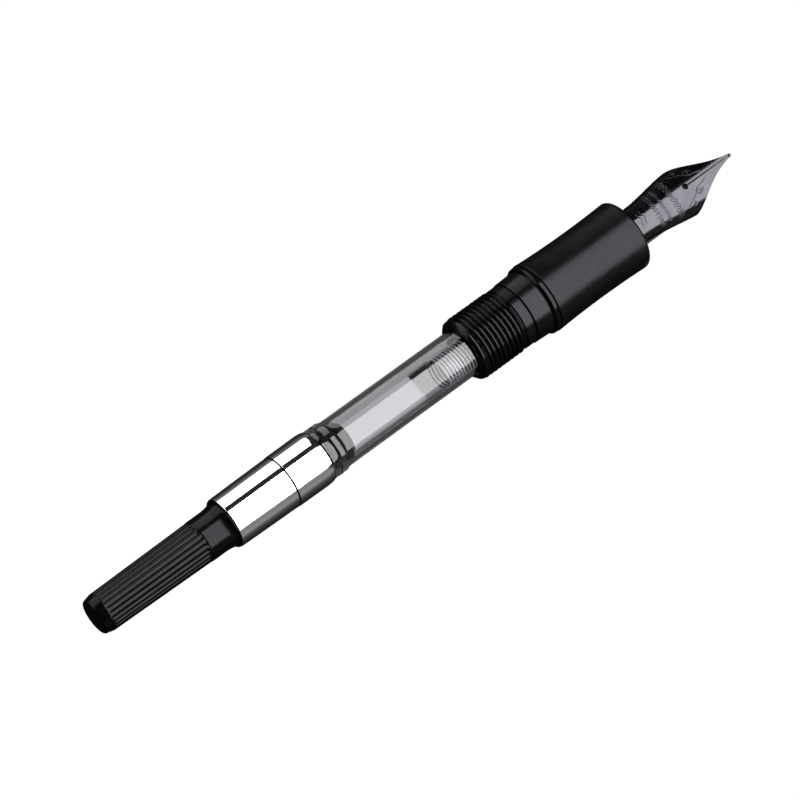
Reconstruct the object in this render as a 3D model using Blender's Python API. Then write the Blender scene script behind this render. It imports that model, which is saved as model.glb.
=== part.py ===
"""Fountain pen writing unit: nib, feed and threaded grip section, with a screw-piston converter plugged into its back.

The pen's axis is world X, the nib points along +X and the nib's top face looks along +Z.
Sizes are in millimetres. Stations along the axis are measured from the barrel seat, a plane
just in front of the trim ring's rear face; SEAT_X moves them so that the unit is centred on the
world origin. In names, REAR and FRONT are stations, and R is a radius.
"""

import math

import bmesh
import bpy

MM = 0.001
SEAT_X = 19.73  # the barrel seat's place along world X
GAP = 0.05  # running gap between two fitted pieces
END_GAP = 0.10  # gap beyond the end of a fitted piece
ROUND = 32  # facets round a visible piece
INNER = 24  # facets round an enclosed piece
DRIVE_FACETS = 20  # facets round the rod, the nut and the feed

# ---- nib: a bent sheet ----
NIB_REAR = 5.30
NIB_TIP = 35.95
NIB_SHEET = 0.28
NIB_BASE_R = 2.98  # bend radii of the top face
NIB_SHOULDER_R = 4.10
NIB_TINE_R = 4.80
NIB_BASE_HALF_WIDTH = 2.89
NIB_SHOULDER_HALF_WIDTH = 3.79
NIB_FLARE_START = 18.80
NIB_SHOULDER_X = 27.05
NIB_TAPER = (  # Bezier control points: (x, half width)
    (NIB_SHOULDER_X, NIB_SHOULDER_HALF_WIDTH),
    (NIB_SHOULDER_X + 1.7, NIB_SHOULDER_HALF_WIDTH),
    (NIB_SHOULDER_X + 3.6, 0.94),
    (NIB_TIP, 0.20),
)
BREATHER_X = 27.30
BREATHER_R = 0.46
SLIT_WIDTH = 0.10
CUT_LOW = 1.0  # heights that the slit and breather cutters span
CUT_HIGH = 4.5
TIPPING_SPAN = 0.62  # from the sheet's end to the tip
TIPPING_HALF_WIDTH = 0.28
TIPPING_HEIGHT = 0.52
TIPPING_DROP = 0.02  # pellet's top below the nib's top line

# ---- grip section ----
GRIP_REAR = 0.78
GRIP_FRONT = 17.15
GRIP_REAR_R = 5.35
GRIP_WAIST_R = 5.10
GRIP_FRONT_R = 5.31
GRIP_WAIST_X = 8.95
GRIP_CHAMFER = 0.15  # at the rear edge
GRIP_ROUNDING = 0.50  # at the front edge
RING_REAR = -0.05
RING_FRONT = 0.70
RING_BORE_R = 4.90
RING_SEAT_R = 5.06
RING_R = 5.25
RING_CHAMFER = 0.10  # at the front edge

# ---- nib collar: the housing round nib and feed, with a nipple at its rear ----
COLLAR_R = 3.60
COLLAR_TAIL_R = 3.50
COLLAR_BORE_R = NIB_BASE_R + GAP
COLLAR_STEP = 0.15  # station where the tail widens to the collar
COLLAR_FLOOR = 4.90  # rear end of the wide bore
NIPPLE_REAR = -7.30
NIPPLE_FRONT = -1.85
NIPPLE_R = 1.45
NIPPLE_BORE_R = 0.65

# ---- threaded coupling between barrel and grip section ----
COUPLING_REAR = -12.50
COUPLING_FRONT = 9.00
COUPLING_STEP = 0.10  # station where the bore narrows
COUPLING_BORE_GAP = 0.08  # round the reservoir tube
THREAD_REAR = -11.95
THREAD_FRONT = -4.80
THREAD_MAJOR_R = 4.725
THREAD_ROOT_R = 4.37
THREAD_PITCH = 0.75
LEAD_IN_R = 4.60
SPIGOT_R = 4.20
COUPLING_LANDS = (  # (x, radius) from the thread's front to the spigot, with two grooves
    (THREAD_FRONT + 0.18, 4.645),
    (-3.26, 4.645), (-3.22, 4.505), (-3.08, 4.505), (-3.04, 4.76),
    (-0.26, 4.86), (-0.22, 4.76), (-0.14, 4.76), (-0.10, 4.86),
    (GRIP_REAR - GAP, 4.86),
)

# ---- feed ----
FEED_TOP_R = 2.64
FEED_LOW_R = 2.87
FEED_FIN_GAP_R = 2.45
FEED_FINS = 8
FEED_FIN_START = 17.70
FEED_FIN_PITCH = 1.05
FEED_FIN_GAP_SHARE = 0.42  # gap's share of one pitch; it lies behind the fin
FEED_BEAK = 26.60
FEED_BEAK_DEPTH = 2.63  # below the axis where the beak starts
FEED_TIP = 33.40
FEED_TIP_HEIGHT = 0.75
FEED_TIP_HALF_WIDTH = 0.45
FEED_TAIL_REAR = -1.00
FEED_TAIL_R = 0.50

# ---- converter reservoir ----
TUBE_REAR = -42.50
TUBE_FRONT = -2.20
TUBE_R = 3.50
TUBE_BORE_R = 2.90
TUBE_CHAMFER = 0.35
FLANGE_REAR = -37.90
FLANGE_FRONT = -35.55
FLANGE_R = 3.75
NECK_R = 3.30
MOUTH_REAR = -7.50
MOUTH_R = NIPPLE_R + GAP

# ---- converter ferrules: the rear one's spigot enters the front one ----
FERRULE_REAR = -53.64
FERRULE_SPLIT = -43.95
FERRULE_FRONT = -38.00
FERRULE_REAR_PART_RADII = (3.74, 3.815, 3.875)  # rear, middle, front
FERRULE_FRONT_PART_RADII = (3.935, 3.965)  # rear, front
FERRULE_BORE_R = 3.10
FERRULE_SPIGOT_R = FERRULE_BORE_R + 0.40
FERRULE_SPIGOT_LENGTH = 1.00
FERRULE_NECK_GAP = 0.06
FERRULE_LIP_R = 2.28
FERRULE_LIP_LENGTH = 0.64

# ---- knob ----
KNOB_END = -75.40
KNOB_FRONT = -53.70
KNOB_END_R = 2.81
KNOB_ROUNDING = 0.5
KNOB_COLLAR_R = 3.09
KNOB_FLARE_R = 3.63
KNOB_FLARE_START = -55.75
FLUTES = 22
FLUTE_REAR = -74.10
FLUTE_FRONT = -58.10
FLUTE_REAR_R = 2.82  # crest radii
FLUTE_FRONT_R = 3.04
FLUTE_DEPTH = 0.22
FLUTE_RUNOUT = 0.35
SOCKET_FLOOR = -60.50
SOCKET_R = 2.26
KNOB_CAVITY_R = 1.95
KNOB_CAVITY_END = -73.80

# ---- screw drive ----
LEAD = 3.60
STARTS = 2
DRIVE_ROW = LEAD / STARTS / 4  # station spacing: four to a pitch
ROD_CREST_R = 1.70
ROD_ROOT_R = 1.42
ROD_FLAT = 1.24  # flats' distance from the axis
ROD_REAR = -73.00
ROD_THREAD_END = -45.40
ROD_LEAD_IN = 0.3
ROD_NECK_R = 0.62
ROD_HEAD_R = 0.95
DRIVE_GAP = 0.09
NUT_REAR = -60.20
NUT_STEM_END = -52.92
NUT_THREAD_REAR = -52.20
NUT_FRONT = -45.20
NUT_STEM_R = 2.19
NUT_BODY_R = 2.60
NUT_FLANGE_R = 3.00
NUT_FLANGE_LENGTH = 1.0
NUT_BORE_R = ROD_CREST_R + 0.18
GUIDE_REAR = -45.05
GUIDE_FRONT = -42.70
GUIDE_R = 3.04

# ---- piston seal and agitator ----
SEAL_REAR = -37.60
SEAL_FRONT = -33.40
SEAL_LIP_R = 2.86
SEAL_WAIST_R = 2.52
SEAL_MOUTH_R = 0.72
SEAL_POCKET_R = 1.05
SPRING_REAR = -17.65
SPRING_FRONT = -12.20
SPRING_TURNS = 10
SPRING_STEPS = 10  # rings per turn
SPRING_R = 2.20
SPRING_WIRE_R = 0.14
SPRING_WIRE_FACETS = 5
SPRING_Y = -0.48  # the coil's axis, off the pen's axis
SPRING_Z = -0.15


# ---------------------------------------------------------------- materials

MATERIALS = {
    "black_satin_plastic": dict(colour=(0.012, 0.011, 0.012), roughness=0.42),
    "black_gloss_plastic": dict(colour=(0.010, 0.010, 0.011), roughness=0.22),
    "black_seal": dict(colour=(0.015, 0.015, 0.016), roughness=0.55),
    "clear_plastic": dict(colour=(0.93, 0.95, 0.96), roughness=0.06, transmission=0.9),
    "chrome": dict(colour=(0.78, 0.78, 0.80), roughness=0.08, metallic=1.0),
    "nib_steel": dict(colour=(0.42, 0.41, 0.43), roughness=0.20, metallic=1.0),
    "tip_alloy": dict(colour=(0.60, 0.60, 0.62), roughness=0.25, metallic=1.0),
    "spring_steel": dict(colour=(0.66, 0.67, 0.69), roughness=0.18, metallic=1.0),
    "white_plastic": dict(colour=(0.78, 0.78, 0.76), roughness=0.40),
}


def principled(name, colour, roughness, metallic=0.0, transmission=0.0):
    material = bpy.data.materials.new(name)
    material.use_nodes = True
    inputs = material.node_tree.nodes["Principled BSDF"].inputs
    inputs["Base Color"].default_value = (*colour, 1.0)
    inputs["Roughness"].default_value = roughness
    inputs["Metallic"].default_value = metallic
    inputs["Transmission Weight"].default_value = transmission
    material.diffuse_color = (*colour, 1.0)
    return material


# ---------------------------------------------------------------- curves and stations


def blend(first, last, share):
    return first + (last - first) * share


def spread(first, last, steps):
    """Evenly spaced values from first to last, both included."""
    return [blend(first, last, i / steps) for i in range(steps + 1)]


def smooth(share):
    share = min(1.0, max(0.0, share))
    return share * share * (3 - 2 * share)


def quarter_arc(x, radius, size, start, end):
    """Stations on a quarter circle of the given size about (x, radius); angles in degrees."""
    return [
        (x + size * math.cos(math.radians(turn)), radius + size * math.sin(math.radians(turn)))
        for turn in spread(start, end, 3)
    ]


# ---------------------------------------------------------------- objects and skins


def clear_scene():
    for obj in list(bpy.data.objects):
        bpy.data.objects.remove(obj, do_unlink=True)


def frame_empty(name, x, parent=None):
    """An empty on the pen's axis that a group of pieces hangs from; axis_x is its world X."""
    empty = bpy.data.objects.new(name, None)
    empty.empty_display_size = 0.004
    bpy.context.scene.collection.objects.link(empty)
    empty.parent = parent
    empty["axis_x"] = (x + SEAT_X) * MM
    parent_x = parent["axis_x"] if parent else 0.0
    empty.location.x = empty["axis_x"] - parent_x
    return empty


def new_object(name, shape, origin_x=0.0):
    """Moves a bmesh from millimetres to world units and links it as an object."""
    for vert in shape.verts:
        vert.co.x = (vert.co.x + SEAT_X) * MM - origin_x
        vert.co.y *= MM
        vert.co.z *= MM
    mesh = bpy.data.meshes.new(name)
    shape.to_mesh(mesh)
    shape.free()
    obj = bpy.data.objects.new(name, mesh)
    bpy.context.scene.collection.objects.link(obj)
    return obj


def finish_object(name, shape, parent, material, sharp_angle=35.0):
    """Cleans a bmesh and makes it a shaded object under its group's empty."""
    bmesh.ops.remove_doubles(shape, verts=shape.verts, dist=1e-5)
    bmesh.ops.dissolve_degenerate(shape, edges=shape.edges, dist=1e-6)
    bmesh.ops.recalc_face_normals(shape, faces=shape.faces)
    if shape.calc_volume(signed=True) < 0:
        bmesh.ops.reverse_faces(shape, faces=shape.faces)
    obj = new_object(name, shape, parent["axis_x"])
    obj.data.materials.append(material)
    obj.data.shade_smooth()
    obj.data.set_sharp_from_angle(angle=math.radians(sharp_angle))
    obj.parent = parent
    return obj


def ring_points(x, radius, count):
    """One ring about the axis; radius is a number or a function of the angle from +Y towards +Z."""
    points = []
    for k in range(count):
        angle = 2 * math.pi * k / count
        reach = radius(angle) if callable(radius) else radius
        points.append((x, reach * math.cos(angle), reach * math.sin(angle)))
    return points


def skin(rings, closed):
    """Joins rings of points into a surface. A ring of one point is a pole.

    A closed skin joins its last ring to its first.
    """
    shape = bmesh.new()
    loops = [[shape.verts.new(point) for point in ring] for ring in rings]
    pairs = list(zip(loops, loops[1:]))
    if closed:
        pairs.append((loops[-1], loops[0]))
    for this, following in pairs:
        count = max(len(this), len(following))
        for k in range(count):
            j = (k + 1) % count
            if len(this) == 1:
                shape.faces.new((this[0], following[k], following[j]))
            elif len(following) == 1:
                shape.faces.new((this[k], following[0], this[j]))
            else:
                shape.faces.new((this[k], following[k], following[j], this[j]))
    return shape


def turned(name, stations, count, parent, material, sharp_angle=35.0):
    """A piece turned about the axis from (x, radius) stations.

    Stations that start and end on the axis make a solid; others close into a sleeve.
    """
    solid = stations[0][1] == 0 and stations[-1][1] == 0
    rings = [
        [(x, 0.0, 0.0)] if radius == 0 else ring_points(x, radius, count)
        for x, radius in stations
    ]
    finish_object(name, skin(rings, not solid), parent, material, sharp_angle)


# ---------------------------------------------------------------- grip section


def grip_outer(x):
    """The grip's gently waisted outside."""
    if x < GRIP_WAIST_X:
        end, end_radius = GRIP_REAR, GRIP_REAR_R
    else:
        end, end_radius = GRIP_FRONT, GRIP_FRONT_R
    share = (x - GRIP_WAIST_X) / (end - GRIP_WAIST_X)
    return blend(GRIP_WAIST_R, end_radius, share**2)


def build_grip_sleeve(parent, material):
    first = GRIP_REAR + GRIP_CHAMFER
    last = GRIP_FRONT - GRIP_ROUNDING
    counterbore_end = COUPLING_FRONT + END_GAP
    stations = [
        (GRIP_REAR, SPIGOT_R + GAP),
        (GRIP_REAR, grip_outer(first) - GRIP_CHAMFER),
    ]
    stations += [(x, grip_outer(x)) for x in spread(first, last, 9)]
    stations += quarter_arc(last, grip_outer(last) - GRIP_ROUNDING, GRIP_ROUNDING, 90, 0)[1:]
    stations += [
        (GRIP_FRONT, COLLAR_R + GAP),
        (counterbore_end, COLLAR_R + GAP),
        (counterbore_end, SPIGOT_R + GAP),
    ]
    turned("grip_sleeve", stations, ROUND, parent, material)


def build_trim_ring(parent, material):
    stations = [
        (RING_REAR, RING_BORE_R),
        (RING_REAR, RING_SEAT_R),
        (RING_REAR + RING_R - RING_SEAT_R, RING_R),
        (RING_FRONT - RING_CHAMFER, RING_R),
        (RING_FRONT, RING_R - RING_CHAMFER),
        (RING_FRONT, RING_BORE_R),
    ]
    turned("trim_ring", stations, ROUND, parent, material)


def thread_radius(x):
    """The coupling's single-start right-hand thread.

    It starts out of the lead-in land and runs out at its front end.
    """
    start = smooth((x - THREAD_REAR) / (0.4 * THREAD_PITCH))
    runout = smooth((THREAD_FRONT - x) / (0.7 * THREAD_PITCH))
    depth = (THREAD_MAJOR_R - THREAD_ROOT_R) * runout

    def radius(angle):
        phase = angle - 2 * math.pi * x / THREAD_PITCH
        cut_radius = THREAD_ROOT_R + depth * (0.5 + 0.5 * math.cos(phase))
        return blend(LEAD_IN_R, cut_radius, start)

    return radius


def build_threaded_coupling(parent, material):
    bore = TUBE_R + COUPLING_BORE_GAP
    stations = [
        (COUPLING_REAR, bore),
        (COUPLING_REAR, LEAD_IN_R - 0.34),
        (COUPLING_REAR + 0.38, LEAD_IN_R),
    ]
    rows = round((THREAD_FRONT - THREAD_REAR) / (THREAD_PITCH / 3))
    stations += [(x, thread_radius(x)) for x in spread(THREAD_REAR, THREAD_FRONT, rows)]
    stations += COUPLING_LANDS
    stations += [
        (GRIP_REAR - GAP, SPIGOT_R),
        (COUPLING_FRONT, SPIGOT_R),
        (COUPLING_FRONT, COLLAR_R + GAP),
        (COUPLING_STEP, COLLAR_R + GAP),
        (COUPLING_STEP, bore),
    ]
    turned("threaded_coupling", stations, ROUND, parent, material)


def build_nib_collar(parent, material):
    front = GRIP_FRONT - END_GAP
    stations = [
        (NIPPLE_REAR, NIPPLE_BORE_R),
        (NIPPLE_REAR, NIPPLE_R - 0.30),
        (NIPPLE_REAR + 0.60, NIPPLE_R),
        (NIPPLE_FRONT, NIPPLE_R),
        (NIPPLE_FRONT, COLLAR_TAIL_R),
        (COLLAR_STEP, COLLAR_TAIL_R),
        (COLLAR_STEP, COLLAR_R),
        (front, COLLAR_R),
        (front, COLLAR_BORE_R),
        (COLLAR_FLOOR, COLLAR_BORE_R),
        (COLLAR_FLOOR, NIPPLE_BORE_R),
    ]
    turned("nib_collar", stations, INNER, parent, material)


# ---------------------------------------------------------------- nib


def bezier(points, share):
    """The point of a cubic Bezier curve at a share of its parameter."""
    rest = 1 - share
    weights = (rest**3, 3 * share * rest**2, 3 * share**2 * rest, share**3)
    return [sum(w * point[axis] for w, point in zip(weights, points)) for axis in (0, 1)]


def nib_half_width(x):
    """Straight base, soft flare to the shoulders, then a concave taper to the tip."""
    if x <= NIB_FLARE_START:
        return NIB_BASE_HALF_WIDTH
    if x <= NIB_SHOULDER_X:
        share = (x - NIB_FLARE_START) / (NIB_SHOULDER_X - NIB_FLARE_START)
        flare = 0.32 * share**2 + 0.68 * smooth(share)
        return blend(NIB_BASE_HALF_WIDTH, NIB_SHOULDER_HALF_WIDTH, flare)
    # Bisect for the curve parameter that lands on x.
    low, high = 0.0, 1.0
    for _ in range(40):
        middle = (low + high) / 2
        if bezier(NIB_TAPER, middle)[0] < x:
            low = middle
        else:
            high = middle
    return bezier(NIB_TAPER, (low + high) / 2)[1]


def nib_bend_radius(x):
    """The radius the sheet is bent to; it flattens towards the tines."""
    if x < NIB_SHOULDER_X:
        share = smooth((x - NIB_FLARE_START) / (NIB_SHOULDER_X - NIB_FLARE_START))
        return blend(NIB_BASE_R, NIB_SHOULDER_R, share)
    share = (x - NIB_SHOULDER_X) / (NIB_TIP - NIB_SHOULDER_X)
    return blend(NIB_SHOULDER_R, NIB_TINE_R, share)


def nib_row(x, columns, depth):
    """Points across the sheet at one station, at a depth below its top face."""
    bend = nib_bend_radius(x)
    half_angle = math.asin(nib_half_width(x) / bend)
    centre = NIB_BASE_R - bend
    radius = bend - depth
    return [
        (x, radius * math.sin(angle), centre + radius * math.cos(angle))
        for angle in spread(-half_angle, half_angle, columns)
    ]


def cut(obj, name, shape):
    """Subtracts a bmesh from an object, by way of a hidden cutter and a Boolean."""
    bmesh.ops.recalc_face_normals(shape, faces=shape.faces)
    cutter = new_object(name, shape)
    cutter.hide_render = True
    cutter.display_type = "WIRE"
    modifier = obj.modifiers.new(name, "BOOLEAN")
    modifier.operation = "DIFFERENCE"
    modifier.solver = "EXACT"
    modifier.object = cutter


def breather_drill():
    """An upright cylinder through the sheet."""
    shape = bmesh.new()
    bmesh.ops.create_cone(
        shape,
        cap_ends=True,
        segments=16,
        radius1=BREATHER_R,
        radius2=BREATHER_R,
        depth=CUT_HIGH - CUT_LOW,
    )
    for vert in shape.verts:
        vert.co.x += BREATHER_X
        vert.co.z += (CUT_LOW + CUT_HIGH) / 2
    return shape


def slit_saw():
    """A thin upright box from the breather hole to beyond the tip."""
    shape = bmesh.new()
    bmesh.ops.create_cube(shape, size=1.0)
    for vert in shape.verts:
        vert.co.x = blend(BREATHER_X, NIB_TIP + 1.0, vert.co.x + 0.5)
        vert.co.y *= SLIT_WIDTH
        vert.co.z = blend(CUT_LOW, CUT_HIGH, vert.co.z + 0.5)
    return shape


def build_nib(parent, material):
    columns = 10
    xs = [NIB_REAR, 11.0, GRIP_FRONT]
    xs += spread(NIB_FLARE_START, NIB_SHOULDER_X, 5)
    xs += spread(NIB_SHOULDER_X, NIB_TIP - TIPPING_SPAN, 9)[1:]
    shape = bmesh.new()
    top = [[shape.verts.new(point) for point in nib_row(x, columns, 0.0)] for x in xs]
    low = [[shape.verts.new(point) for point in nib_row(x, columns, NIB_SHEET)] for x in xs]
    for i in range(len(xs) - 1):
        j = i + 1
        for k in range(columns):
            shape.faces.new((top[i][k], top[j][k], top[j][k + 1], top[i][k + 1]))
            shape.faces.new((low[i][k], low[i][k + 1], low[j][k + 1], low[j][k]))
        shape.faces.new((top[i][0], low[i][0], low[j][0], top[j][0]))
        shape.faces.new((top[i][-1], top[j][-1], low[j][-1], low[i][-1]))
    for k in range(columns):
        shape.faces.new((top[0][k], top[0][k + 1], low[0][k + 1], low[0][k]))
        shape.faces.new((top[-1][k], low[-1][k], low[-1][k + 1], top[-1][k + 1]))
    nib = finish_object("nib", shape, parent, material)
    cut(nib, "breather_drill", breather_drill())
    cut(nib, "slit_saw", slit_saw())


def build_tipping(name, side, parent, material):
    """Half of the tipping pellet, just ahead of its tine; side is +1 on +Y and -1 on -Y."""
    shape = bmesh.new()
    bmesh.ops.create_uvsphere(shape, u_segments=14, v_segments=8, radius=1.0)
    half_length = (TIPPING_SPAN - GAP) / 2
    half_height = TIPPING_HEIGHT / 2
    for vert in shape.verts:
        vert.co.x = NIB_TIP - half_length + vert.co.x * half_length
        vert.co.y *= TIPPING_HALF_WIDTH
        vert.co.z = NIB_BASE_R - half_height - TIPPING_DROP + vert.co.z * half_height
    bmesh.ops.bisect_plane(
        shape,
        geom=shape.verts[:] + shape.edges[:] + shape.faces[:],
        plane_co=(0, side * SLIT_WIDTH / 2, 0),
        plane_no=(0, -side, 0),
        clear_outer=True,
    )
    rim = [edge for edge in shape.edges if edge.is_boundary]
    bmesh.ops.contextual_create(shape, geom=rim)
    finish_object(name, shape, parent, material)


# ---------------------------------------------------------------- feed


def feed_low_radius(x):
    """The lower half's radius: full in the collar, cut into fins further forward."""
    fin = (x - FEED_FIN_START) / FEED_FIN_PITCH
    in_gap = 0 <= fin < FEED_FINS and fin - math.floor(fin) < FEED_FIN_GAP_SHARE
    return FEED_FIN_GAP_R if in_gap else FEED_LOW_R


def feed_body_ring(x):
    low = feed_low_radius(x)

    def radius(angle):
        under = smooth((0.30 - math.sin(angle)) / 0.25)
        return blend(FEED_TOP_R, low, under)

    return ring_points(x, radius, DRIVE_FACETS)


def feed_beak_ring(share):
    """An ellipse under the feed's level top line; share runs from 0 at the beak's start to 1."""
    bottom = blend(-FEED_BEAK_DEPTH, FEED_TOP_R - FEED_TIP_HEIGHT, 1 - (1 - share) ** 1.7)
    half_width = blend(FEED_TOP_R, FEED_TIP_HALF_WIDTH, share**0.9)
    centre = (FEED_TOP_R + bottom) / 2
    half_height = (FEED_TOP_R - bottom) / 2
    return [
        (x, half_width * y, centre + half_height * z)
        for x, y, z in ring_points(blend(FEED_BEAK, FEED_TIP, share), 1.0, DRIVE_FACETS)
    ]


def build_feed(parent, material):
    body_rear = COLLAR_FLOOR + END_GAP
    step = 0.01  # half the length of each step between radii
    xs = [body_rear, 11.0, FEED_FIN_START - step]
    for i in range(FEED_FINS):
        start = FEED_FIN_START + i * FEED_FIN_PITCH
        xs += [
            start + step,
            start + (FEED_FIN_GAP_SHARE - step) * FEED_FIN_PITCH,
            start + (FEED_FIN_GAP_SHARE + step) * FEED_FIN_PITCH,
            start + (1 - step) * FEED_FIN_PITCH,
        ]
    xs.append(FEED_BEAK)
    rings = [
        [(FEED_TAIL_REAR, 0.0, 0.0)],
        ring_points(FEED_TAIL_REAR, FEED_TAIL_R, DRIVE_FACETS),
        ring_points(body_rear, FEED_TAIL_R, DRIVE_FACETS),
    ]
    rings += [feed_body_ring(x) for x in xs]
    rings += [feed_beak_ring(share) for share in spread(0, 1, 5)[1:]]
    rings.append([(FEED_TIP, 0.0, FEED_TOP_R - FEED_TIP_HEIGHT / 2)])
    finish_object("feed", skin(rings, False), parent, material)


# ---------------------------------------------------------------- converter body


def build_reservoir_tube(parent, material):
    stations = [
        (TUBE_REAR, TUBE_BORE_R),
        (TUBE_REAR, NECK_R),
        (FLANGE_REAR, NECK_R),
        (FLANGE_REAR + 0.25, FLANGE_R),
        (FLANGE_FRONT, FLANGE_R),
        (FLANGE_FRONT + 0.7, TUBE_R),
        (TUBE_FRONT - TUBE_CHAMFER, TUBE_R),
        (TUBE_FRONT, TUBE_R - TUBE_CHAMFER),
        (TUBE_FRONT, MOUTH_R + 0.25),
        (TUBE_FRONT - 0.40, MOUTH_R),
        (MOUTH_REAR, MOUTH_R),
        (MOUTH_REAR, TUBE_BORE_R),
    ]
    turned("reservoir_tube", stations, ROUND, parent, material)


def build_ferrule_front(parent, material):
    rear = FERRULE_SPLIT + 0.04
    socket_end = FERRULE_SPLIT + FERRULE_SPIGOT_LENGTH + END_GAP
    rear_radius, front_radius = FERRULE_FRONT_PART_RADII
    stations = [
        (rear, FERRULE_SPIGOT_R + GAP),
        (rear, rear_radius - 0.08),
        (rear + 0.08, rear_radius),
        (FERRULE_FRONT - 0.85, front_radius),
        (FERRULE_FRONT - 0.05, front_radius - 0.20),
        (FERRULE_FRONT, front_radius - 0.26),
        (FERRULE_FRONT, NECK_R + FERRULE_NECK_GAP),
        (socket_end, NECK_R + FERRULE_NECK_GAP),
        (socket_end, FERRULE_SPIGOT_R + GAP),
    ]
    turned("ferrule_front", stations, ROUND, parent, material)


def build_ferrule_rear(parent, material):
    spigot_end = FERRULE_SPLIT + FERRULE_SPIGOT_LENGTH
    lip_end = FERRULE_REAR + FERRULE_LIP_LENGTH
    rear_radius, middle_radius, front_radius = FERRULE_REAR_PART_RADII
    stations = [
        (FERRULE_REAR, FERRULE_LIP_R),
        (FERRULE_REAR, rear_radius - 0.10),
        (FERRULE_REAR + 0.10, rear_radius),
        ((FERRULE_REAR + FERRULE_SPLIT) / 2, middle_radius),
        (FERRULE_SPLIT - 0.08, front_radius),
        (FERRULE_SPLIT, front_radius - 0.08),
        (FERRULE_SPLIT, FERRULE_SPIGOT_R),
        (spigot_end, FERRULE_SPIGOT_R),
        (spigot_end, FERRULE_BORE_R),
        (lip_end, FERRULE_BORE_R),
        (lip_end, FERRULE_LIP_R),
    ]
    turned("ferrule_rear", stations, ROUND, parent, material)


# ---------------------------------------------------------------- screw drive


def drive_thread(x, clearance=0.0):
    """The two-start right-hand thread that rod and nut share; the nut adds clearance."""

    def radius(angle):
        phase = STARTS * (angle - 2 * math.pi * x / LEAD)
        wave = 0.5 + 0.5 * math.cos(phase)
        return blend(ROD_ROOT_R, ROD_CREST_R, wave) + clearance

    return radius


def double_d(radius, flat):
    """A round with two flats that face +Z and -Z, at the distance flat from the axis."""

    def result(angle):
        reach = radius(angle) if callable(radius) else radius
        lift = abs(math.sin(angle))
        return reach if lift * reach <= flat else flat / lift

    return result


def build_rod_guide(parent, material):
    hole = double_d(ROD_CREST_R + 0.08, ROD_FLAT + 0.07)
    stations = [
        (GUIDE_REAR, hole),
        (GUIDE_REAR, GUIDE_R),
        (GUIDE_FRONT, GUIDE_R),
        (GUIDE_FRONT, hole),
    ]
    turned("rod_guide", stations, INNER, parent, material)


def build_spindle_nut(parent, material):
    flange_rear = NUT_FRONT - NUT_FLANGE_LENGTH
    stations = [
        (NUT_REAR, NUT_BORE_R),
        (NUT_REAR, NUT_STEM_R),
        (NUT_STEM_END, NUT_STEM_R),
        (NUT_STEM_END, NUT_BODY_R),
        (flange_rear, NUT_BODY_R),
        (flange_rear, NUT_FLANGE_R),
        (NUT_FRONT, NUT_FLANGE_R),
    ]
    rows = round((NUT_FRONT - NUT_THREAD_REAR) / DRIVE_ROW)
    for x in spread(NUT_FRONT, NUT_THREAD_REAR, rows):
        stations.append((x, drive_thread(x, DRIVE_GAP)))
    stations.append((NUT_THREAD_REAR - 0.05, NUT_BORE_R))
    turned("spindle_nut", stations, DRIVE_FACETS, parent, material)


def build_piston_rod(parent, material):
    """A flatted screw with a mushroom head on its front end."""
    thread_start = ROD_REAR + ROD_LEAD_IN
    shank = double_d(ROD_ROOT_R, ROD_FLAT)
    stations = [(ROD_REAR, 0.0), (ROD_REAR, ROD_ROOT_R - 0.30)]
    rows = round((ROD_THREAD_END - thread_start) / DRIVE_ROW)
    for x in spread(thread_start, ROD_THREAD_END, rows):
        stations.append((x, double_d(drive_thread(x), ROD_FLAT)))
    stations += [
        (ROD_THREAD_END + 0.30, shank),
        (SEAL_REAR - 0.06, shank),
        (SEAL_REAR - 0.06, ROD_NECK_R),
        (SEAL_REAR + 1.00, ROD_NECK_R),
        (SEAL_REAR + 1.15, ROD_HEAD_R),
        (SEAL_REAR + 1.75, ROD_HEAD_R),
        (SEAL_REAR + 2.20, 0.55),
        (SEAL_REAR + 2.20, 0.0),
    ]
    turned("piston_rod", stations, DRIVE_FACETS, parent, material)


def build_piston_seal(parent, material):
    """A plug with three sealing ribs and a coned nose, snapped over the rod's mushroom head."""
    pocket = [
        (SEAL_REAR + 2.35, 0.0),
        (SEAL_REAR + 2.35, 0.65),
        (SEAL_REAR + 1.82, SEAL_POCKET_R),
        (SEAL_REAR + 1.08, SEAL_POCKET_R),
        (SEAL_REAR + 0.95, SEAL_MOUTH_R),
        (SEAL_REAR, SEAL_MOUTH_R),
    ]
    outside = [
        (SEAL_REAR, SEAL_WAIST_R - 0.30),
        (SEAL_REAR + 0.32, SEAL_WAIST_R - 0.05),
        (SEAL_REAR + 0.50, SEAL_LIP_R),
        (SEAL_REAR + 1.18, SEAL_LIP_R),
        (SEAL_REAR + 1.28, SEAL_WAIST_R),
        (SEAL_REAR + 1.44, SEAL_WAIST_R),
        (SEAL_REAR + 1.54, SEAL_LIP_R),
        (SEAL_REAR + 2.25, SEAL_LIP_R),
        (SEAL_REAR + 2.45, SEAL_WAIST_R),
        (SEAL_FRONT - 1.35, SEAL_WAIST_R),
        (SEAL_FRONT - 1.20, SEAL_LIP_R),
        (SEAL_FRONT - 0.75, SEAL_LIP_R),
        (SEAL_FRONT - 0.45, SEAL_WAIST_R),
        (SEAL_FRONT, SEAL_WAIST_R - 0.35),
        (SEAL_FRONT, 0.0),
    ]
    turned("piston_seal", pocket + outside, INNER, parent, material)


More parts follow.
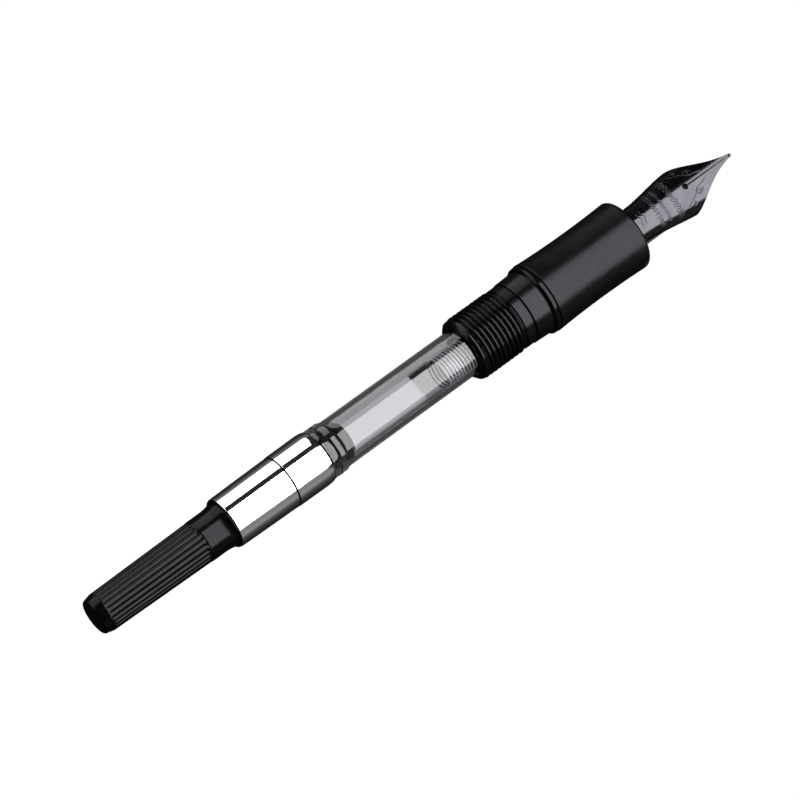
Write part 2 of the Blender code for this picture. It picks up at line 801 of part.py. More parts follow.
def build_agitator_spring(parent, material):
    """A short coil that lies loose in the reservoir, low and towards -Y."""
    total = SPRING_TURNS * SPRING_STEPS
    first = SPRING_REAR + SPRING_WIRE_R
    last = SPRING_FRONT - SPRING_WIRE_R
    rings = []
    for i, centre_x in enumerate(spread(first, last, total)):
        angle = math.pi + 2 * math.pi * i / SPRING_STEPS
        ring = []
        for k in range(SPRING_WIRE_FACETS):
            around = 2 * math.pi * k / SPRING_WIRE_FACETS
            reach = SPRING_R + SPRING_WIRE_R * math.cos(around)
            ring.append(
                (
                    centre_x + SPRING_WIRE_R * math.sin(around),
                    reach * math.cos(angle) + SPRING_Y,
                    reach * math.sin(angle) + SPRING_Z,
                )
            )
        rings.append(ring)
    shape = skin(rings, False)
    for end in (shape.verts[:SPRING_WIRE_FACETS], shape.verts[-SPRING_WIRE_FACETS:]):
        shape.faces.new(end)
    finish_object("agitator_spring", shape, parent, material, sharp_angle=60.0)


# ---------------------------------------------------------------- knob


def fluted(crest):
    """A ring whose points alternate between crest and flute."""

    def result(angle):
        k = round(angle / (2 * math.pi) * 2 * FLUTES)
        return crest if k % 2 == 0 else crest - FLUTE_DEPTH

    return result


def knob_flare():
    """Stations on a quarter ellipse that widens from the collar to the knob's front."""
    stations = []
    for i in range(1, 5):
        angle = i / 4 * math.pi / 2
        x = blend(KNOB_FLARE_START, KNOB_FRONT - 0.12, math.sin(angle))
        stations.append((x, blend(KNOB_COLLAR_R, KNOB_FLARE_R, 1 - math.cos(angle))))
    return stations


def build_knob(parent, material):
    stations = [(KNOB_END, 0.0)]
    stations += quarter_arc(
        KNOB_END + KNOB_ROUNDING, KNOB_END_R - KNOB_ROUNDING, KNOB_ROUNDING, 180, 90
    )
    stations += [
        (FLUTE_REAR, FLUTE_REAR_R),
        (FLUTE_REAR + FLUTE_RUNOUT, fluted(FLUTE_REAR_R)),
        (FLUTE_FRONT - FLUTE_RUNOUT, fluted(FLUTE_FRONT_R)),
        (FLUTE_FRONT, FLUTE_FRONT_R),
        (FLUTE_FRONT + 0.12, KNOB_COLLAR_R - 0.01),
        (KNOB_FLARE_START, KNOB_COLLAR_R),
    ]
    stations += knob_flare()
    stations += [
        (KNOB_FRONT, KNOB_FLARE_R - 0.05),
        (KNOB_FRONT, SOCKET_R),
        (SOCKET_FLOOR, SOCKET_R),
        (SOCKET_FLOOR, KNOB_CAVITY_R),
        (KNOB_CAVITY_END, KNOB_CAVITY_R),
        (KNOB_CAVITY_END, 0.0),
    ]
    turned("knob", stations, 2 * FLUTES, parent, material, sharp_angle=30.0)


def main():
    clear_scene()
    materials = {name: principled(name, **look) for name, look in MATERIALS.items()}
    black_satin = materials["black_satin_plastic"]
    black_gloss = materials["black_gloss_plastic"]
    white_plastic = materials["white_plastic"]

    section = frame_empty("section_frame", RING_REAR)
    nib_unit = frame_empty("nib_frame", GRIP_FRONT, section)
    converter = frame_empty("converter_frame", TUBE_FRONT, section)
    knob_axis = frame_empty("knob_frame", KNOB_FRONT, converter)
    piston = frame_empty("piston_frame", SEAL_REAR, converter)
    agitator = frame_empty("agitator_frame", SPRING_REAR, converter)

    build_grip_sleeve(section, black_satin)
    build_trim_ring(section, black_gloss)
    build_threaded_coupling(section, black_satin)
    build_nib_collar(section, black_satin)

    build_nib(nib_unit, materials["nib_steel"])
    build_tipping("tipping_left", 1, nib_unit, materials["tip_alloy"])
    build_tipping("tipping_right", -1, nib_unit, materials["tip_alloy"])
    build_feed(nib_unit, black_satin)

    build_reservoir_tube(converter, materials["clear_plastic"])
    build_ferrule_front(converter, materials["chrome"])
    build_ferrule_rear(converter, materials["chrome"])
    build_rod_guide(converter, white_plastic)

    build_knob(knob_axis, black_gloss)
    build_spindle_nut(knob_axis, white_plastic)
    build_piston_rod(piston, white_plastic)
    build_piston_seal(piston, materials["black_seal"])
    build_agitator_spring(agitator, materials["spring_steel"])


main()
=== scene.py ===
"""A fountain pen's writing unit: the grip section with its nib and feed, and the piston
converter behind it.

The pen's axis is world X with the nib towards +X, and the nib's top face looks along +Z.
Lengths are millimetres unless a comment says metres. Stations along the axis are counted from
the barrel seat, whose place is read from the frame. Profiles are lists of (station, radius).
"""

import math

import bmesh
import bpy
import numpy as np
from mathutils import Matrix, Vector


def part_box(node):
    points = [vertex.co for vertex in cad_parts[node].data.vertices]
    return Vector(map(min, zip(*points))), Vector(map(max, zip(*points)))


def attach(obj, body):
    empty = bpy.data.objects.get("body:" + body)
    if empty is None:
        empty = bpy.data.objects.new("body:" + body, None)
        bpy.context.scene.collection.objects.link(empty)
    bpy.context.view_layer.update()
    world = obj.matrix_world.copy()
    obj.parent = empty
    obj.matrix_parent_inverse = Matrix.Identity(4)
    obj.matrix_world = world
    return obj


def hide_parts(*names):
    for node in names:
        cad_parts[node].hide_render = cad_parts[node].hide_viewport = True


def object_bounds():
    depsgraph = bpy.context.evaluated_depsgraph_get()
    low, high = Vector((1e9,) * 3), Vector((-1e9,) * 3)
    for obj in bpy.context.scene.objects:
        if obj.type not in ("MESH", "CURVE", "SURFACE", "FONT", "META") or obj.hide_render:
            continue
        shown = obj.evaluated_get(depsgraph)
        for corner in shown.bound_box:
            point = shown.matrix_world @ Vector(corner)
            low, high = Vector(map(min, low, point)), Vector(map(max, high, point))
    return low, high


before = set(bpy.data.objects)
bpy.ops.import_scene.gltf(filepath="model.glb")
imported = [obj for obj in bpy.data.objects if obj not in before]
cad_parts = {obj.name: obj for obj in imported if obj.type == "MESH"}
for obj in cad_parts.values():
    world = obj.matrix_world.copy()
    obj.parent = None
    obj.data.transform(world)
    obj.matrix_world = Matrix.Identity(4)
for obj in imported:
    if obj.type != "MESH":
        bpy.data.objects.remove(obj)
cad_low, cad_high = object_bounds()

MILLI = 0.001  # metres in a millimetre


def node_box(name):
    """A node's low and high corners in millimetres."""
    low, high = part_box(name)
    return [v / MILLI for v in low], [v / MILLI for v in high]


# world X of the barrel seat: the ring's rear face stands 0.05 mm behind it
SEAT = node_box("trim_ring")[0][0] + 0.05


def ends(name):
    """Stations of a node's rear and front."""
    low, high = node_box(name)
    return low[0] - SEAT, high[0] - SEAT


def outer_radius(name):
    return node_box(name)[1][1]


# ------------------------------------------------------------------ outlines


def ease(share):
    """Smooth step from 0 to 1."""
    share = np.clip(share, 0.0, 1.0)
    return share * share * (3 - 2 * share)


def lerp(start, end, share):
    return start + (end - start) * share


def arc(centre_x, centre_r, radius, start_deg, end_deg, steps):
    """Profile points round an edge, both ends included."""
    out = []
    for i in range(steps + 1):
        angle = math.radians(lerp(start_deg, end_deg, i / steps))
        out.append((centre_x + radius * math.cos(angle), centre_r + radius * math.sin(angle)))
    return out


def line(start_x, start_r, end_x, end_r, steps):
    """Profile points along a straight run, without its first point."""
    return [
        (lerp(start_x, end_x, i / steps), lerp(start_r, end_r, i / steps))
        for i in range(1, steps + 1)
    ]


def level(start, end, radius, steps):
    """Profile points at one radius, both ends included."""
    return [(lerp(start, end, i / steps), radius) for i in range(steps + 1)]


# ------------------------------------------------------------------ meshes


def finish_mesh(mesh, work, sharp):
    """Stores the bmesh, shades it smooth with creases above `sharp` degrees, and links it."""
    work.to_mesh(mesh)
    work.free()
    mesh.shade_smooth()
    mesh.set_sharp_from_angle(angle=math.radians(sharp))
    obj = bpy.data.objects.new(mesh.name, mesh)
    bpy.context.scene.collection.objects.link(obj)
    return obj


def mesh_object(node, verts, faces, sharp, weld=2e-8, marks=None):
    """The fine piece for a node. weld is in metres; marks are per-vertex values of the engraving
    and of the painted shade along the nib's slit.
    """
    mesh = bpy.data.meshes.new(node + "_fine")
    mesh.from_pydata(
        [((x + SEAT) * MILLI, y * MILLI, z * MILLI) for x, y, z in verts], [], faces
    )
    if marks is not None:
        attribute = mesh.attributes.new("engraving_and_slit_shade", "FLOAT", "POINT")
        attribute.data.foreach_set("value", np.array(marks, np.float32))
    work = bmesh.new()
    work.from_mesh(mesh)
    bmesh.ops.remove_doubles(work, verts=work.verts, dist=weld)
    bmesh.ops.recalc_face_normals(work, faces=work.faces)
    if work.calc_volume(signed=True) < 0:
        bmesh.ops.reverse_faces(work, faces=work.faces)
    return finish_mesh(mesh, work, sharp)


def grid_faces(rows, count, close_rows):
    """Quads between rings of `count` points; close_rows joins the last ring to the first."""
    faces = []
    for i in range(rows if close_rows else rows - 1):
        here, ahead = i * count, ((i + 1) % rows) * count
        for k in range(count):
            j = (k + 1) % count
            faces.append((here + k, ahead + k, ahead + j, here + j))
    return faces


def lathe(node, profile, count, radius_at=None, sharp=32.0):
    """A piece turned about the axis. A profile that starts and ends on the axis makes a solid,
    any other closes on itself. radius_at(x, radius, angles) may change a ring's radii."""
    angles = np.arange(count) * 2 * math.pi / count
    solid = profile[0][1] <= 1e-9 and profile[-1][1] <= 1e-9
    body = profile[1:-1] if solid else profile
    verts = []
    for x, radius in body:
        radii = radius_at(x, radius, angles) if radius_at else radius
        for angle, reach in zip(angles, np.broadcast_to(radii, count)):
            verts.append((x, reach * math.cos(angle), reach * math.sin(angle)))
    faces = grid_faces(len(body), count, not solid)
    if solid:
        first, last = len(verts), len(verts) + 1
        verts += [(profile[0][0], 0.0, 0.0), (profile[-1][0], 0.0, 0.0)]
        base = (len(body) - 1) * count
        for k in range(count):
            j = (k + 1) % count
            faces.append((first, k, j))
            faces.append((last, base + j, base + k))
    return mesh_object(node, verts, faces, sharp)


# ------------------------------------------------------------------ shader nodes


class Nodes:
    """A short way to build a node tree."""

    def __init__(self, tree):
        self.tree = tree

    def add(self, kind, **values):
        node = self.tree.nodes.new(kind)
        for key, value in values.items():
            setattr(node, key, value)
        return node

    def put(self, value, socket):
        """Links an output to the socket, or sets the socket's own value."""
        if isinstance(value, bpy.types.NodeSocket):
            self.tree.links.new(value, socket)
        else:
            socket.default_value = value

    def math(self, operation, first, second=0.0):
        node = self.add("ShaderNodeMath", operation=operation)
        self.put(first, node.inputs[0])
        self.put(second, node.inputs[1])
        return node.outputs[0]

    def plus(self, first, second):
        return self.math("ADD", first, second)

    def times(self, first, second):
        return self.math("MULTIPLY", first, second)

    def spread(self, value, out=(0.0, 1.0), over=(0.3, 0.7), interpolation="LINEAR"):
        """Maps the range `over` onto the range `out`."""
        node = self.add("ShaderNodeMapRange", interpolation_type=interpolation)
        node.inputs["From Min"].default_value = over[0]
        node.inputs["From Max"].default_value = over[1]
        node.inputs["To Min"].default_value = out[0]
        node.inputs["To Max"].default_value = out[1]
        self.put(value, node.inputs["Value"])
        return node.outputs["Result"]

    def axes(self, vector):
        node = self.add("ShaderNodeSeparateXYZ")
        self.put(vector, node.inputs["Vector"])
        return node.outputs

    def pick(self, factor, plain, chosen):
        """The shader `chosen` where factor is 1, `plain` where it is 0."""
        node = self.add("ShaderNodeMixShader")
        self.put(factor, node.inputs["Fac"])
        self.put(plain, node.inputs[1])
        self.put(chosen, node.inputs[2])
        return node.outputs["Shader"]


class Material(Nodes):
    """A material's nodes, with object coordinates in millimetres."""

    def __init__(self, name):
        self.material = bpy.data.materials.new(name)
        self.material.use_nodes = True
        super().__init__(self.material.node_tree)
        self.shader = self.tree.nodes["Principled BSDF"]
        self.surface = self.tree.nodes["Material Output"].inputs["Surface"]
        coords = self.add("ShaderNodeTexCoord")
        self.place = self.scaled(coords.outputs["Object"], (1000.0, 1000.0, 1000.0))

    def scaled(self, vector, scale):
        node = self.add("ShaderNodeMapping")
        node.inputs["Scale"].default_value = scale
        self.put(vector, node.inputs["Vector"])
        return node.outputs["Vector"]

    def set(self, **values):
        """Sets or links the surface shader's inputs; an underscore stands for a space."""
        for key, value in values.items():
            self.put(value, self.shader.inputs[key.replace("_", " ")])

    def noise(self, scale, detail=3.0, stretch=None, rough=0.55):
        node = self.add("ShaderNodeTexNoise")
        node.inputs["Scale"].default_value = scale
        node.inputs["Detail"].default_value = detail
        node.inputs["Roughness"].default_value = rough
        place = self.scaled(self.place, stretch) if stretch else self.place
        self.put(place, node.inputs["Vector"])
        return node.outputs["Fac"]

    def mix(self, factor, plain, chosen):
        node = self.add("ShaderNodeMix", data_type="RGBA")
        self.put(factor, node.inputs["Factor"])
        for key, value in (("A", plain), ("B", chosen)):
            self.put(value, next(s for s in node.inputs if s.name == key and s.type == "RGBA"))
        return next(s for s in node.outputs if s.type == "RGBA")

    def bump(self, height, strength, depth, normal=None):
        """depth is in millimetres."""
        node = self.add("ShaderNodeBump")
        node.inputs["Strength"].default_value = strength
        node.inputs["Distance"].default_value = depth * MILLI
        self.put(height, node.inputs["Height"])
        if normal is not None:
            self.put(normal, node.inputs["Normal"])
        return node.outputs["Normal"]

    def edge_wear(self, radius=0.05):
        """High on edges: how far a slightly rounded normal leans away from the true one."""
        bevel = self.add("ShaderNodeBevel", samples=4)
        bevel.inputs["Radius"].default_value = radius * MILLI
        geometry = self.add("ShaderNodeNewGeometry")
        dot = self.add("ShaderNodeVectorMath", operation="DOT_PRODUCT")
        self.put(bevel.outputs["Normal"], dot.inputs[0])
        self.put(geometry.outputs["Normal"], dot.inputs[1])
        return self.spread(dot.outputs["Value"], out=(1.0, 0.0), over=(0.80, 0.995))


def tint(base, red=1.0, green=1.0, blue=1.0):
    """The base colour, opaque, with its channels scaled."""
    return (base[0] * red, base[1] * green, base[2] * blue, 1.0)


# ------------------------------------------------------------------ materials

BLACK_RESIN = (0.0008, 0.0007, 0.0008)


def satin_resin(name, rough=(0.27, 0.33), grain=0.25, gloss=0.15):
    """Moulded black resin: fine satin grain, faint handling marks along the axis."""
    look = Material(name)
    cloud = look.noise(scale=0.55, detail=4.0)
    grain_noise = look.noise(scale=9.0)
    rub = look.noise(scale=3.0, detail=4.0, stretch=(0.12, 1.0, 1.0))
    rubbed = look.spread(rub, out=(-1.0, 1.0), over=(0.35, 0.65))
    grained = look.bump(grain_noise, strength=grain, depth=0.004)
    look.set(
        Base_Color=look.mix(
            look.spread(cloud),
            tint(BLACK_RESIN, red=0.85, green=0.85, blue=0.85),
            tint(BLACK_RESIN, red=1.2, green=1.2, blue=1.25),
        ),
        Roughness=look.plus(look.spread(cloud, out=rough), look.times(rubbed, 0.025)),
        Normal=look.bump(rub, strength=0.06, depth=0.02, normal=grained),
        IOR=1.5,
        Specular_IOR_Level=look.spread(cloud, out=(gloss * 0.92, gloss * 1.08)),
        Specular_Tint=(0.93, 0.92, 1.0, 1.0),
    )
    return look.material


def gloss_resin(name, gloss, rough=(0.10, 0.20)):
    """Polished black moulding: soft waviness and hairline marks along the axis."""
    look = Material(name)
    cloud = look.noise(scale=0.8, detail=4.0)
    hair = look.noise(scale=14.0, detail=5.0, stretch=(0.06, 1.0, 1.0))
    hairlines = look.spread(hair, over=(0.55, 0.75))
    wavy = look.bump(cloud, strength=0.10, depth=0.01)
    look.set(
        Base_Color=look.mix(
            look.spread(cloud),
            tint(BLACK_RESIN),
            tint(BLACK_RESIN, red=1.5, green=1.5, blue=1.6),
        ),
        Roughness=look.plus(look.spread(cloud, out=rough), look.times(hairlines, 0.08)),
        Normal=look.bump(hair, strength=0.05, depth=0.006, normal=wavy),
        Specular_Tint=(0.94, 0.93, 1.0, 1.0),
        IOR=1.5,
        Specular_IOR_Level=look.spread(cloud, out=(gloss * 0.92, gloss * 1.08)),
    )
    return look.material


def paint_shade_near_line(look, plate, y, z, near, far, tone):
    """Painted shade: darkens what lies nearer than `near` to the line at y, z along X; none
    beyond `far`.
    """
    place = look.axes(look.place)
    off_y = look.math("SUBTRACT", place["Y"], y)
    off_z = look.math("SUBTRACT", place["Z"], z)
    squares = look.plus(look.times(off_y, off_y), look.times(off_z, off_z))
    away = look.math("SQRT", squares)
    inside = look.spread(away, out=(1.0, 0.0), over=(near, far))
    return look.mix(inside, plate, (tone, tone, tone * 1.04, 1.0))


def plated(name, base, rough=(0.035, 0.075), scratch=0.05, turned=0.03, shade=None):
    """Bright plating: very fine turning lines round the axis, stray hairlines, edge thinning.
    shade, when given, holds the named arguments for painted shade near a line along X."""
    look = Material(name)
    cloud = look.noise(scale=0.9)
    turning = look.noise(scale=11.0, stretch=(6.0, 0.15, 0.15))
    hair = look.noise(scale=8.0, detail=6.0, stretch=(0.25, 1.5, 1.5), rough=0.7)
    wear = look.edge_wear()
    plate = look.mix(
        look.times(wear, 0.5), tint(base), tint(base, red=0.82, green=0.80, blue=0.80)
    )
    # painted shade: the plating goes darker near a line along X
    if shade is not None:
        plate = paint_shade_near_line(look, plate, **shade)
    worn_rough = look.plus(look.spread(cloud, out=rough), look.times(wear, 0.06))
    hairlines = look.spread(hair, over=(0.6, 0.8))
    scratched = look.bump(hair, strength=0.03, depth=0.003)
    look.set(
        Base_Color=plate,
        Roughness=look.plus(worn_rough, look.times(hairlines, scratch)),
        Normal=look.bump(turning, strength=turned, depth=0.002, normal=scratched),
        Metallic=1.0,
    )
    return look.material


def nib_plating(name):
    """Dark plated steel: polishing lines along the nib, duller and blacker in the engraving and
    in the painted shade along the slit.
    """
    look = Material(name)
    cut_and_slit_shade = look.add("ShaderNodeAttribute", attribute_name="engraving_and_slit_shade").outputs["Fac"]
    cloud = look.noise(scale=0.45, detail=4.0)
    fine = look.noise(scale=9.0, detail=5.0, stretch=(0.22, 1.0, 1.0))
    speck = look.noise(scale=22.0, detail=2.0)
    wear = look.edge_wear()
    plate = look.mix(
        look.spread(cloud, over=(0.35, 0.65)),
        (0.039, 0.038, 0.0425, 1.0),
        (0.049, 0.048, 0.0535, 1.0),
    )
    worn = look.mix(look.times(wear, 0.55), plate, (0.085, 0.083, 0.09, 1.0))
    lines = look.spread(fine, over=(0.5, 0.75))
    polished = look.plus(look.spread(cloud, out=(0.11, 0.17)), look.times(lines, 0.05))
    specked = look.bump(speck, strength=0.02, depth=0.001)
    look.set(
        # blacker in the engraving, and painted shade darkens the slit's edges
        Base_Color=look.mix(cut_and_slit_shade, worn, (0.019, 0.018, 0.021, 1.0)),
        Roughness=look.plus(polished, look.times(cut_and_slit_shade, 0.35)),
        Normal=look.bump(fine, strength=0.03, depth=0.002, normal=specked),
        Metallic=1.0,
    )
    return look.material


def clear_plastic(name):
    """Clear polished moulding with faint flow lines and haze. Lamps shine through it."""
    look = Material(name)
    haze = look.noise(scale=0.7, detail=4.0)
    hair = look.noise(scale=10.0, detail=5.0, stretch=(0.08, 1.0, 1.0))
    hairlines = look.spread(hair, over=(0.6, 0.8))
    look.set(
        IOR=1.49,
        Transmission_Weight=1.0,
        Base_Color=look.mix(
            look.spread(haze), (0.975, 0.975, 0.985, 1.0), (0.955, 0.957, 0.972, 1.0)
        ),
        Roughness=look.plus(look.spread(haze, out=(0.004, 0.02)), look.times(hairlines, 0.02)),
        Normal=look.bump(hair, strength=0.02, depth=0.002),
    )
    # shadow and diffuse rays pass straight through
    through = look.add("ShaderNodeBsdfTransparent")
    through.inputs["Color"].default_value = (0.90, 0.90, 0.92, 1.0)
    ray = look.add("ShaderNodeLightPath").outputs
    either = look.math("MAXIMUM", ray["Is Shadow Ray"], ray["Is Diffuse Ray"])
    blend = look.pick(either, look.shader.outputs["BSDF"], through.outputs["BSDF"])
    look.put(blend, look.surface)
    return look.material


def soft_black(name):
    """The seal's elastomer: deep black, soft satin, a little bloom."""
    look = Material(name)
    bloom = look.noise(scale=2.2, detail=4.0)
    look.set(
        Base_Color=look.mix(
            look.spread(bloom), (0.0012, 0.0011, 0.0013, 1.0), (0.0024, 0.0022, 0.0025, 1.0)
        ),
        Roughness=look.spread(bloom, out=(0.34, 0.48)),
        Normal=look.bump(look.noise(scale=9.0), strength=0.10, depth=0.004),
        Specular_IOR_Level=0.15,
    )
    return look.material


def acetal(name, base):
    """Moulded acetal: matt, slightly waxy, with flow marks along the part."""
    look = Material(name)
    cloud = look.noise(scale=0.9, detail=4.0)
    flow = look.noise(scale=5.0, stretch=(0.2, 1.0, 1.0))
    look.set(
        Base_Color=look.mix(
            look.spread(cloud), tint(base), tint(base, red=0.82, green=0.82, blue=0.80)
        ),
        Roughness=look.spread(cloud, out=(0.34, 0.50)),
        Normal=look.bump(flow, strength=0.10, depth=0.006),
        IOR=1.48,
    )
    return look.material


# the spring's wire radius, and its coil's axis and mean radius
WIRE_R = 0.14
COIL_LOW, COIL_HIGH = node_box("agitator_spring")
COIL_Y = (COIL_HIGH[1] + COIL_LOW[1]) / 2
COIL_Z = (COIL_HIGH[2] + COIL_LOW[2]) / 2
COIL_R = (COIL_HIGH[1] - COIL_LOW[1]) / 2 - WIRE_R

MAT_SATIN = satin_resin("satin_black_resin")
MAT_COUPLING = satin_resin("coupling_resin", rough=(0.20, 0.26), grain=0.12, gloss=0.165)
MAT_FEED = satin_resin("feed_resin", rough=(0.42, 0.55), grain=0.6)
MAT_RING = gloss_resin("ring_gloss", gloss=0.14)
MAT_KNOB = gloss_resin("knob_gloss", gloss=0.115, rough=(0.14, 0.20))
# painted shade: the plating turns near black everywhere within 3.64 mm of the axis, in the
# parting groove and the bores
MAT_CHROME = plated(
    "bright_plating",
    base=(0.86, 0.86, 0.875),
    shade=dict(y=0.0, z=0.0, near=3.64, far=3.70, tone=0.02),
)
MAT_NIB = nib_plating("dark_plated_nib")
MAT_TIP = plated(
    "tip_alloy_ground",
    base=(0.060, 0.060, 0.065),
    rough=(0.16, 0.24),
    scratch=0.12,
    turned=0.08,
)
# painted shade: the wire turns dark on its side towards the coil's axis
MAT_SPRING = plated(
    "bright_wire",
    base=(0.92, 0.92, 0.935),
    rough=(0.26, 0.34),
    scratch=0.10,
    shade=dict(y=COIL_Y, z=COIL_Z, near=COIL_R - 0.06, far=COIL_R + 0.05, tone=0.06),
)
MAT_CLEAR = clear_plastic("clear_moulding")
MAT_SEAL = soft_black("seal_black")
MAT_ROD = acetal("rod_acetal", base=(0.010, 0.0095, 0.0105))
MAT_WHITE = acetal("white_acetal", base=(0.72, 0.72, 0.70))


# ------------------------------------------------------------------ grip section

NOSE_BORE = 3.65  # bore round the nib collar, in the grip and in the coupling
SPIGOT_R = 4.20  # the coupling's front spigot, which enters the grip


def build_grip(node):
    """The waisted sleeve, with a large rounded front edge and a stepped bore."""
    rear, front = ends(node)
    full = outer_radius(node)
    waist_x = lerp(rear, front, 0.50)
    waist = full - 0.24
    front_full = full - 0.03
    front_edge, rear_edge, bore_edge = 0.52, 0.12, 0.1
    rear_bore = SPIGOT_R + 0.05
    step = ends("threaded_coupling")[1] + 0.10

    def outside(x):
        if x < waist_x:
            return waist + (full - waist) * ((waist_x - x) / (waist_x - rear)) ** 2
        return waist + (front_full - waist) * ((x - waist_x) / (front - waist_x)) ** 2

    profile = [(rear, rear_bore)]
    profile += arc(rear + rear_edge, outside(rear) - rear_edge, rear_edge, 180, 90, 5)
    for i in range(1, 61):
        x = lerp(rear + rear_edge, front - front_edge, i / 60)
        profile.append((x, outside(x)))
    edge_r = outside(front - front_edge) - front_edge
    profile += arc(front - front_edge, edge_r, front_edge, 86, 0, 12)
    profile += [(front, edge_r - 0.6)]
    profile += arc(front - bore_edge, NOSE_BORE + bore_edge, bore_edge, 0, -90, 4)
    profile += [(step, NOSE_BORE), (step, rear_bore)]
    return lathe(node, profile, 224)


def build_ring(node):
    """The trim ring at the barrel seat, bevelled at its rear outer edge."""
    rear, front = ends(node)
    full = outer_radius(node)
    bore, front_edge = 4.90, 0.10
    profile = [(rear, bore), (rear, full - 0.22)]
    profile += arc(rear + 0.04, full - 0.20, 0.04, 180, 135, 3)
    profile += line(rear + 0.015, full - 0.172, rear + 0.17, full - 0.02, 3)
    profile += arc(rear + 0.24, full - 0.07, 0.07, 120, 90, 3)
    profile += arc(front - front_edge, full - front_edge, front_edge, 90, 0, 5)
    profile += [(front, bore)]
    return lathe(node, profile, 224)


THREAD_PITCH = 0.75
THREAD_REAR, THREAD_FRONT = -11.95, -4.80
THREAD_CREST_R, THREAD_ROOT_R = 4.725, 4.37
LEAD_IN_R = 4.60  # plain band behind the thread


def thread_radius(x, radius, angles):
    """Cuts the barrel thread into rings at the root radius, fading at both ends."""
    in_run = THREAD_REAR - 1e-6 <= x <= THREAD_FRONT + 1e-6
    if not (in_run and abs(radius - THREAD_ROOT_R) < 1e-6):
        return radius
    start = float(ease((x - THREAD_REAR) / (0.4 * THREAD_PITCH)))
    end = float(ease((THREAD_FRONT - x) / (0.7 * THREAD_PITCH)))
    phase = (angles - 2 * math.pi * x / THREAD_PITCH) / (2 * math.pi)
    saw = np.abs((phase % 1.0) * 2 - 1)  # 1 on a crest, 0 at the root
    ridge = np.clip((saw - 0.02) / 0.74, 0.0, 1.0)
    cut = THREAD_ROOT_R + (THREAD_CREST_R - THREAD_ROOT_R) * ridge * end
    return lerp(LEAD_IN_R, cut, start)


def build_coupling(node):
    """The threaded coupling: lead-in, thread, plain land, cone, collar and front spigot."""
    rear, front = ends(node)
    collar = outer_radius(node)
    bore, bore_step = 3.58, 0.10
    land = 4.645
    cone_x, cone_r = -2.96, land + 0.11
    profile = [
        (rear, bore + 0.12), (rear, LEAD_IN_R - 0.40),
        (rear + 0.02, LEAD_IN_R - 0.355), (rear + 0.05, LEAD_IN_R - 0.325),
    ]
    profile += line(rear + 0.05, LEAD_IN_R - 0.325, rear + 0.34, LEAD_IN_R - 0.03, 3)
    profile += [(rear + 0.38, LEAD_IN_R - 0.005), (rear + 0.44, LEAD_IN_R)]
    rows = int((THREAD_FRONT - THREAD_REAR) / THREAD_PITCH * 26)
    profile += level(THREAD_REAR, THREAD_FRONT, THREAD_ROOT_R, rows)
    # the land ahead of the thread, then a fine groove at the foot of the cone
    profile += [
        (THREAD_FRONT + 0.06, THREAD_ROOT_R + 0.02),
        (THREAD_FRONT + 0.16, land - 0.03), (THREAD_FRONT + 0.22, land),
        (-3.30, land), (-3.25, land - 0.03), (-3.22, land - 0.13), (-3.10, land - 0.14),
        (-3.07, land - 0.05), (-3.04, land + 0.06), (cone_x, cone_r),
    ]
    profile += line(cone_x, cone_r, -0.32, collar, 10)
    # a second fine groove, the collar, the spigot and the stepped bore
    profile += [
        (-0.28, collar - 0.02), (-0.25, collar - 0.09), (-0.17, collar - 0.10),
        (-0.13, collar - 0.03), (-0.09, collar),
        (0.70, collar), (0.73, collar - 0.03), (0.73, SPIGOT_R),
        (front - 0.2, SPIGOT_R), (front, SPIGOT_R - 0.2), (front, NOSE_BORE),
        (bore_step, NOSE_BORE), (bore_step, bore), (rear + 0.12, bore),
    ]
    return lathe(node, profile, 208, thread_radius, sharp=26)


def build_collar(node):
    """The cup that holds the feed, with a thin stem behind it."""
    rear, front = ends(node)
    floor, wall, full = 4.90, 3.50, 3.60
    cup_rear, cup_bore, stem_bore = -1.85, 3.03, 0.65
    profile = [(rear, 0.70), (rear, 1.15)]
    profile += line(rear, 1.15, rear + 0.60, 1.42, 3)
    profile += arc(rear + 0.66, 1.38, 0.07, 120, 90, 2)
    profile += [
        (cup_rear - 0.05, 1.45), (cup_rear, 1.50), (cup_rear, wall - 0.06), (-1.79, wall),
        (0.15, wall), (0.15, full), (front - 0.12, full),
    ]
    profile += arc(front - 0.10, full - 0.10, 0.10, 80, 0, 4)
    profile += [
        (front, cup_bore + 0.07), (front - 0.07, cup_bore),
        (floor, cup_bore), (floor, stem_bore), (rear + 0.05, stem_bore),
    ]
    return lathe(node, profile, 128)


# ------------------------------------------------------------------ nib shape

NIB_REAR, NIB_END = ends("nib")
NIB_TIP = ends("tipping_left")[1]
NIB_TOP = node_box("nib")[1][2]
SHEET = 0.28  # thickness
# radius of the sheet's bend at the base, the shoulder and the tip
BASE_R, SHOULDER_R, TINE_R = NIB_TOP, 4.10, 4.80
# half widths
BASE_W, SHOULDER_W = 2.89, node_box("nib")[1][1]
FLARE_X, SHOULDER_X = 18.80, 27.05
HOLE_X, HOLE_R = 27.30, 0.46
SLIT_REAR, SLIT_TIP = 0.16, 0.024  # slit widths
RIM = 0.055  # how far the rounded outer edge reaches in
RIM_CORNER = 0.018
ENGRAVE_DEPTH = 0.022
ENGRAVE_REAR = 18.3  # no engraving behind this station
ACROSS = 64  # quads across one half


def slit_width(x):
    """The slit narrows from the breather hole to next to nothing at the tip."""
    return lerp(SLIT_REAR, SLIT_TIP, float(np.clip((x - HOLE_X) / (NIB_TIP - HOLE_X), 0, 1)))


# (x, half width) control points of the outline from the shoulder to the tip
TINE_CURVE = (
    (SHOULDER_X, SHOULDER_W),
    (SHOULDER_X + 1.7, SHOULDER_W),
    (SHOULDER_X + 3.6, 0.94),
    (NIB_TIP + 0.015, 0.20),
)


def bezier(points, t):
    weights = ((1 - t) ** 3, 3 * t * (1 - t) ** 2, 3 * t * t * (1 - t), t**3)
    return (
        sum(w * p[0] for w, p in zip(weights, points)),
        sum(w * p[1] for w, p in zip(weights, points)),
    )


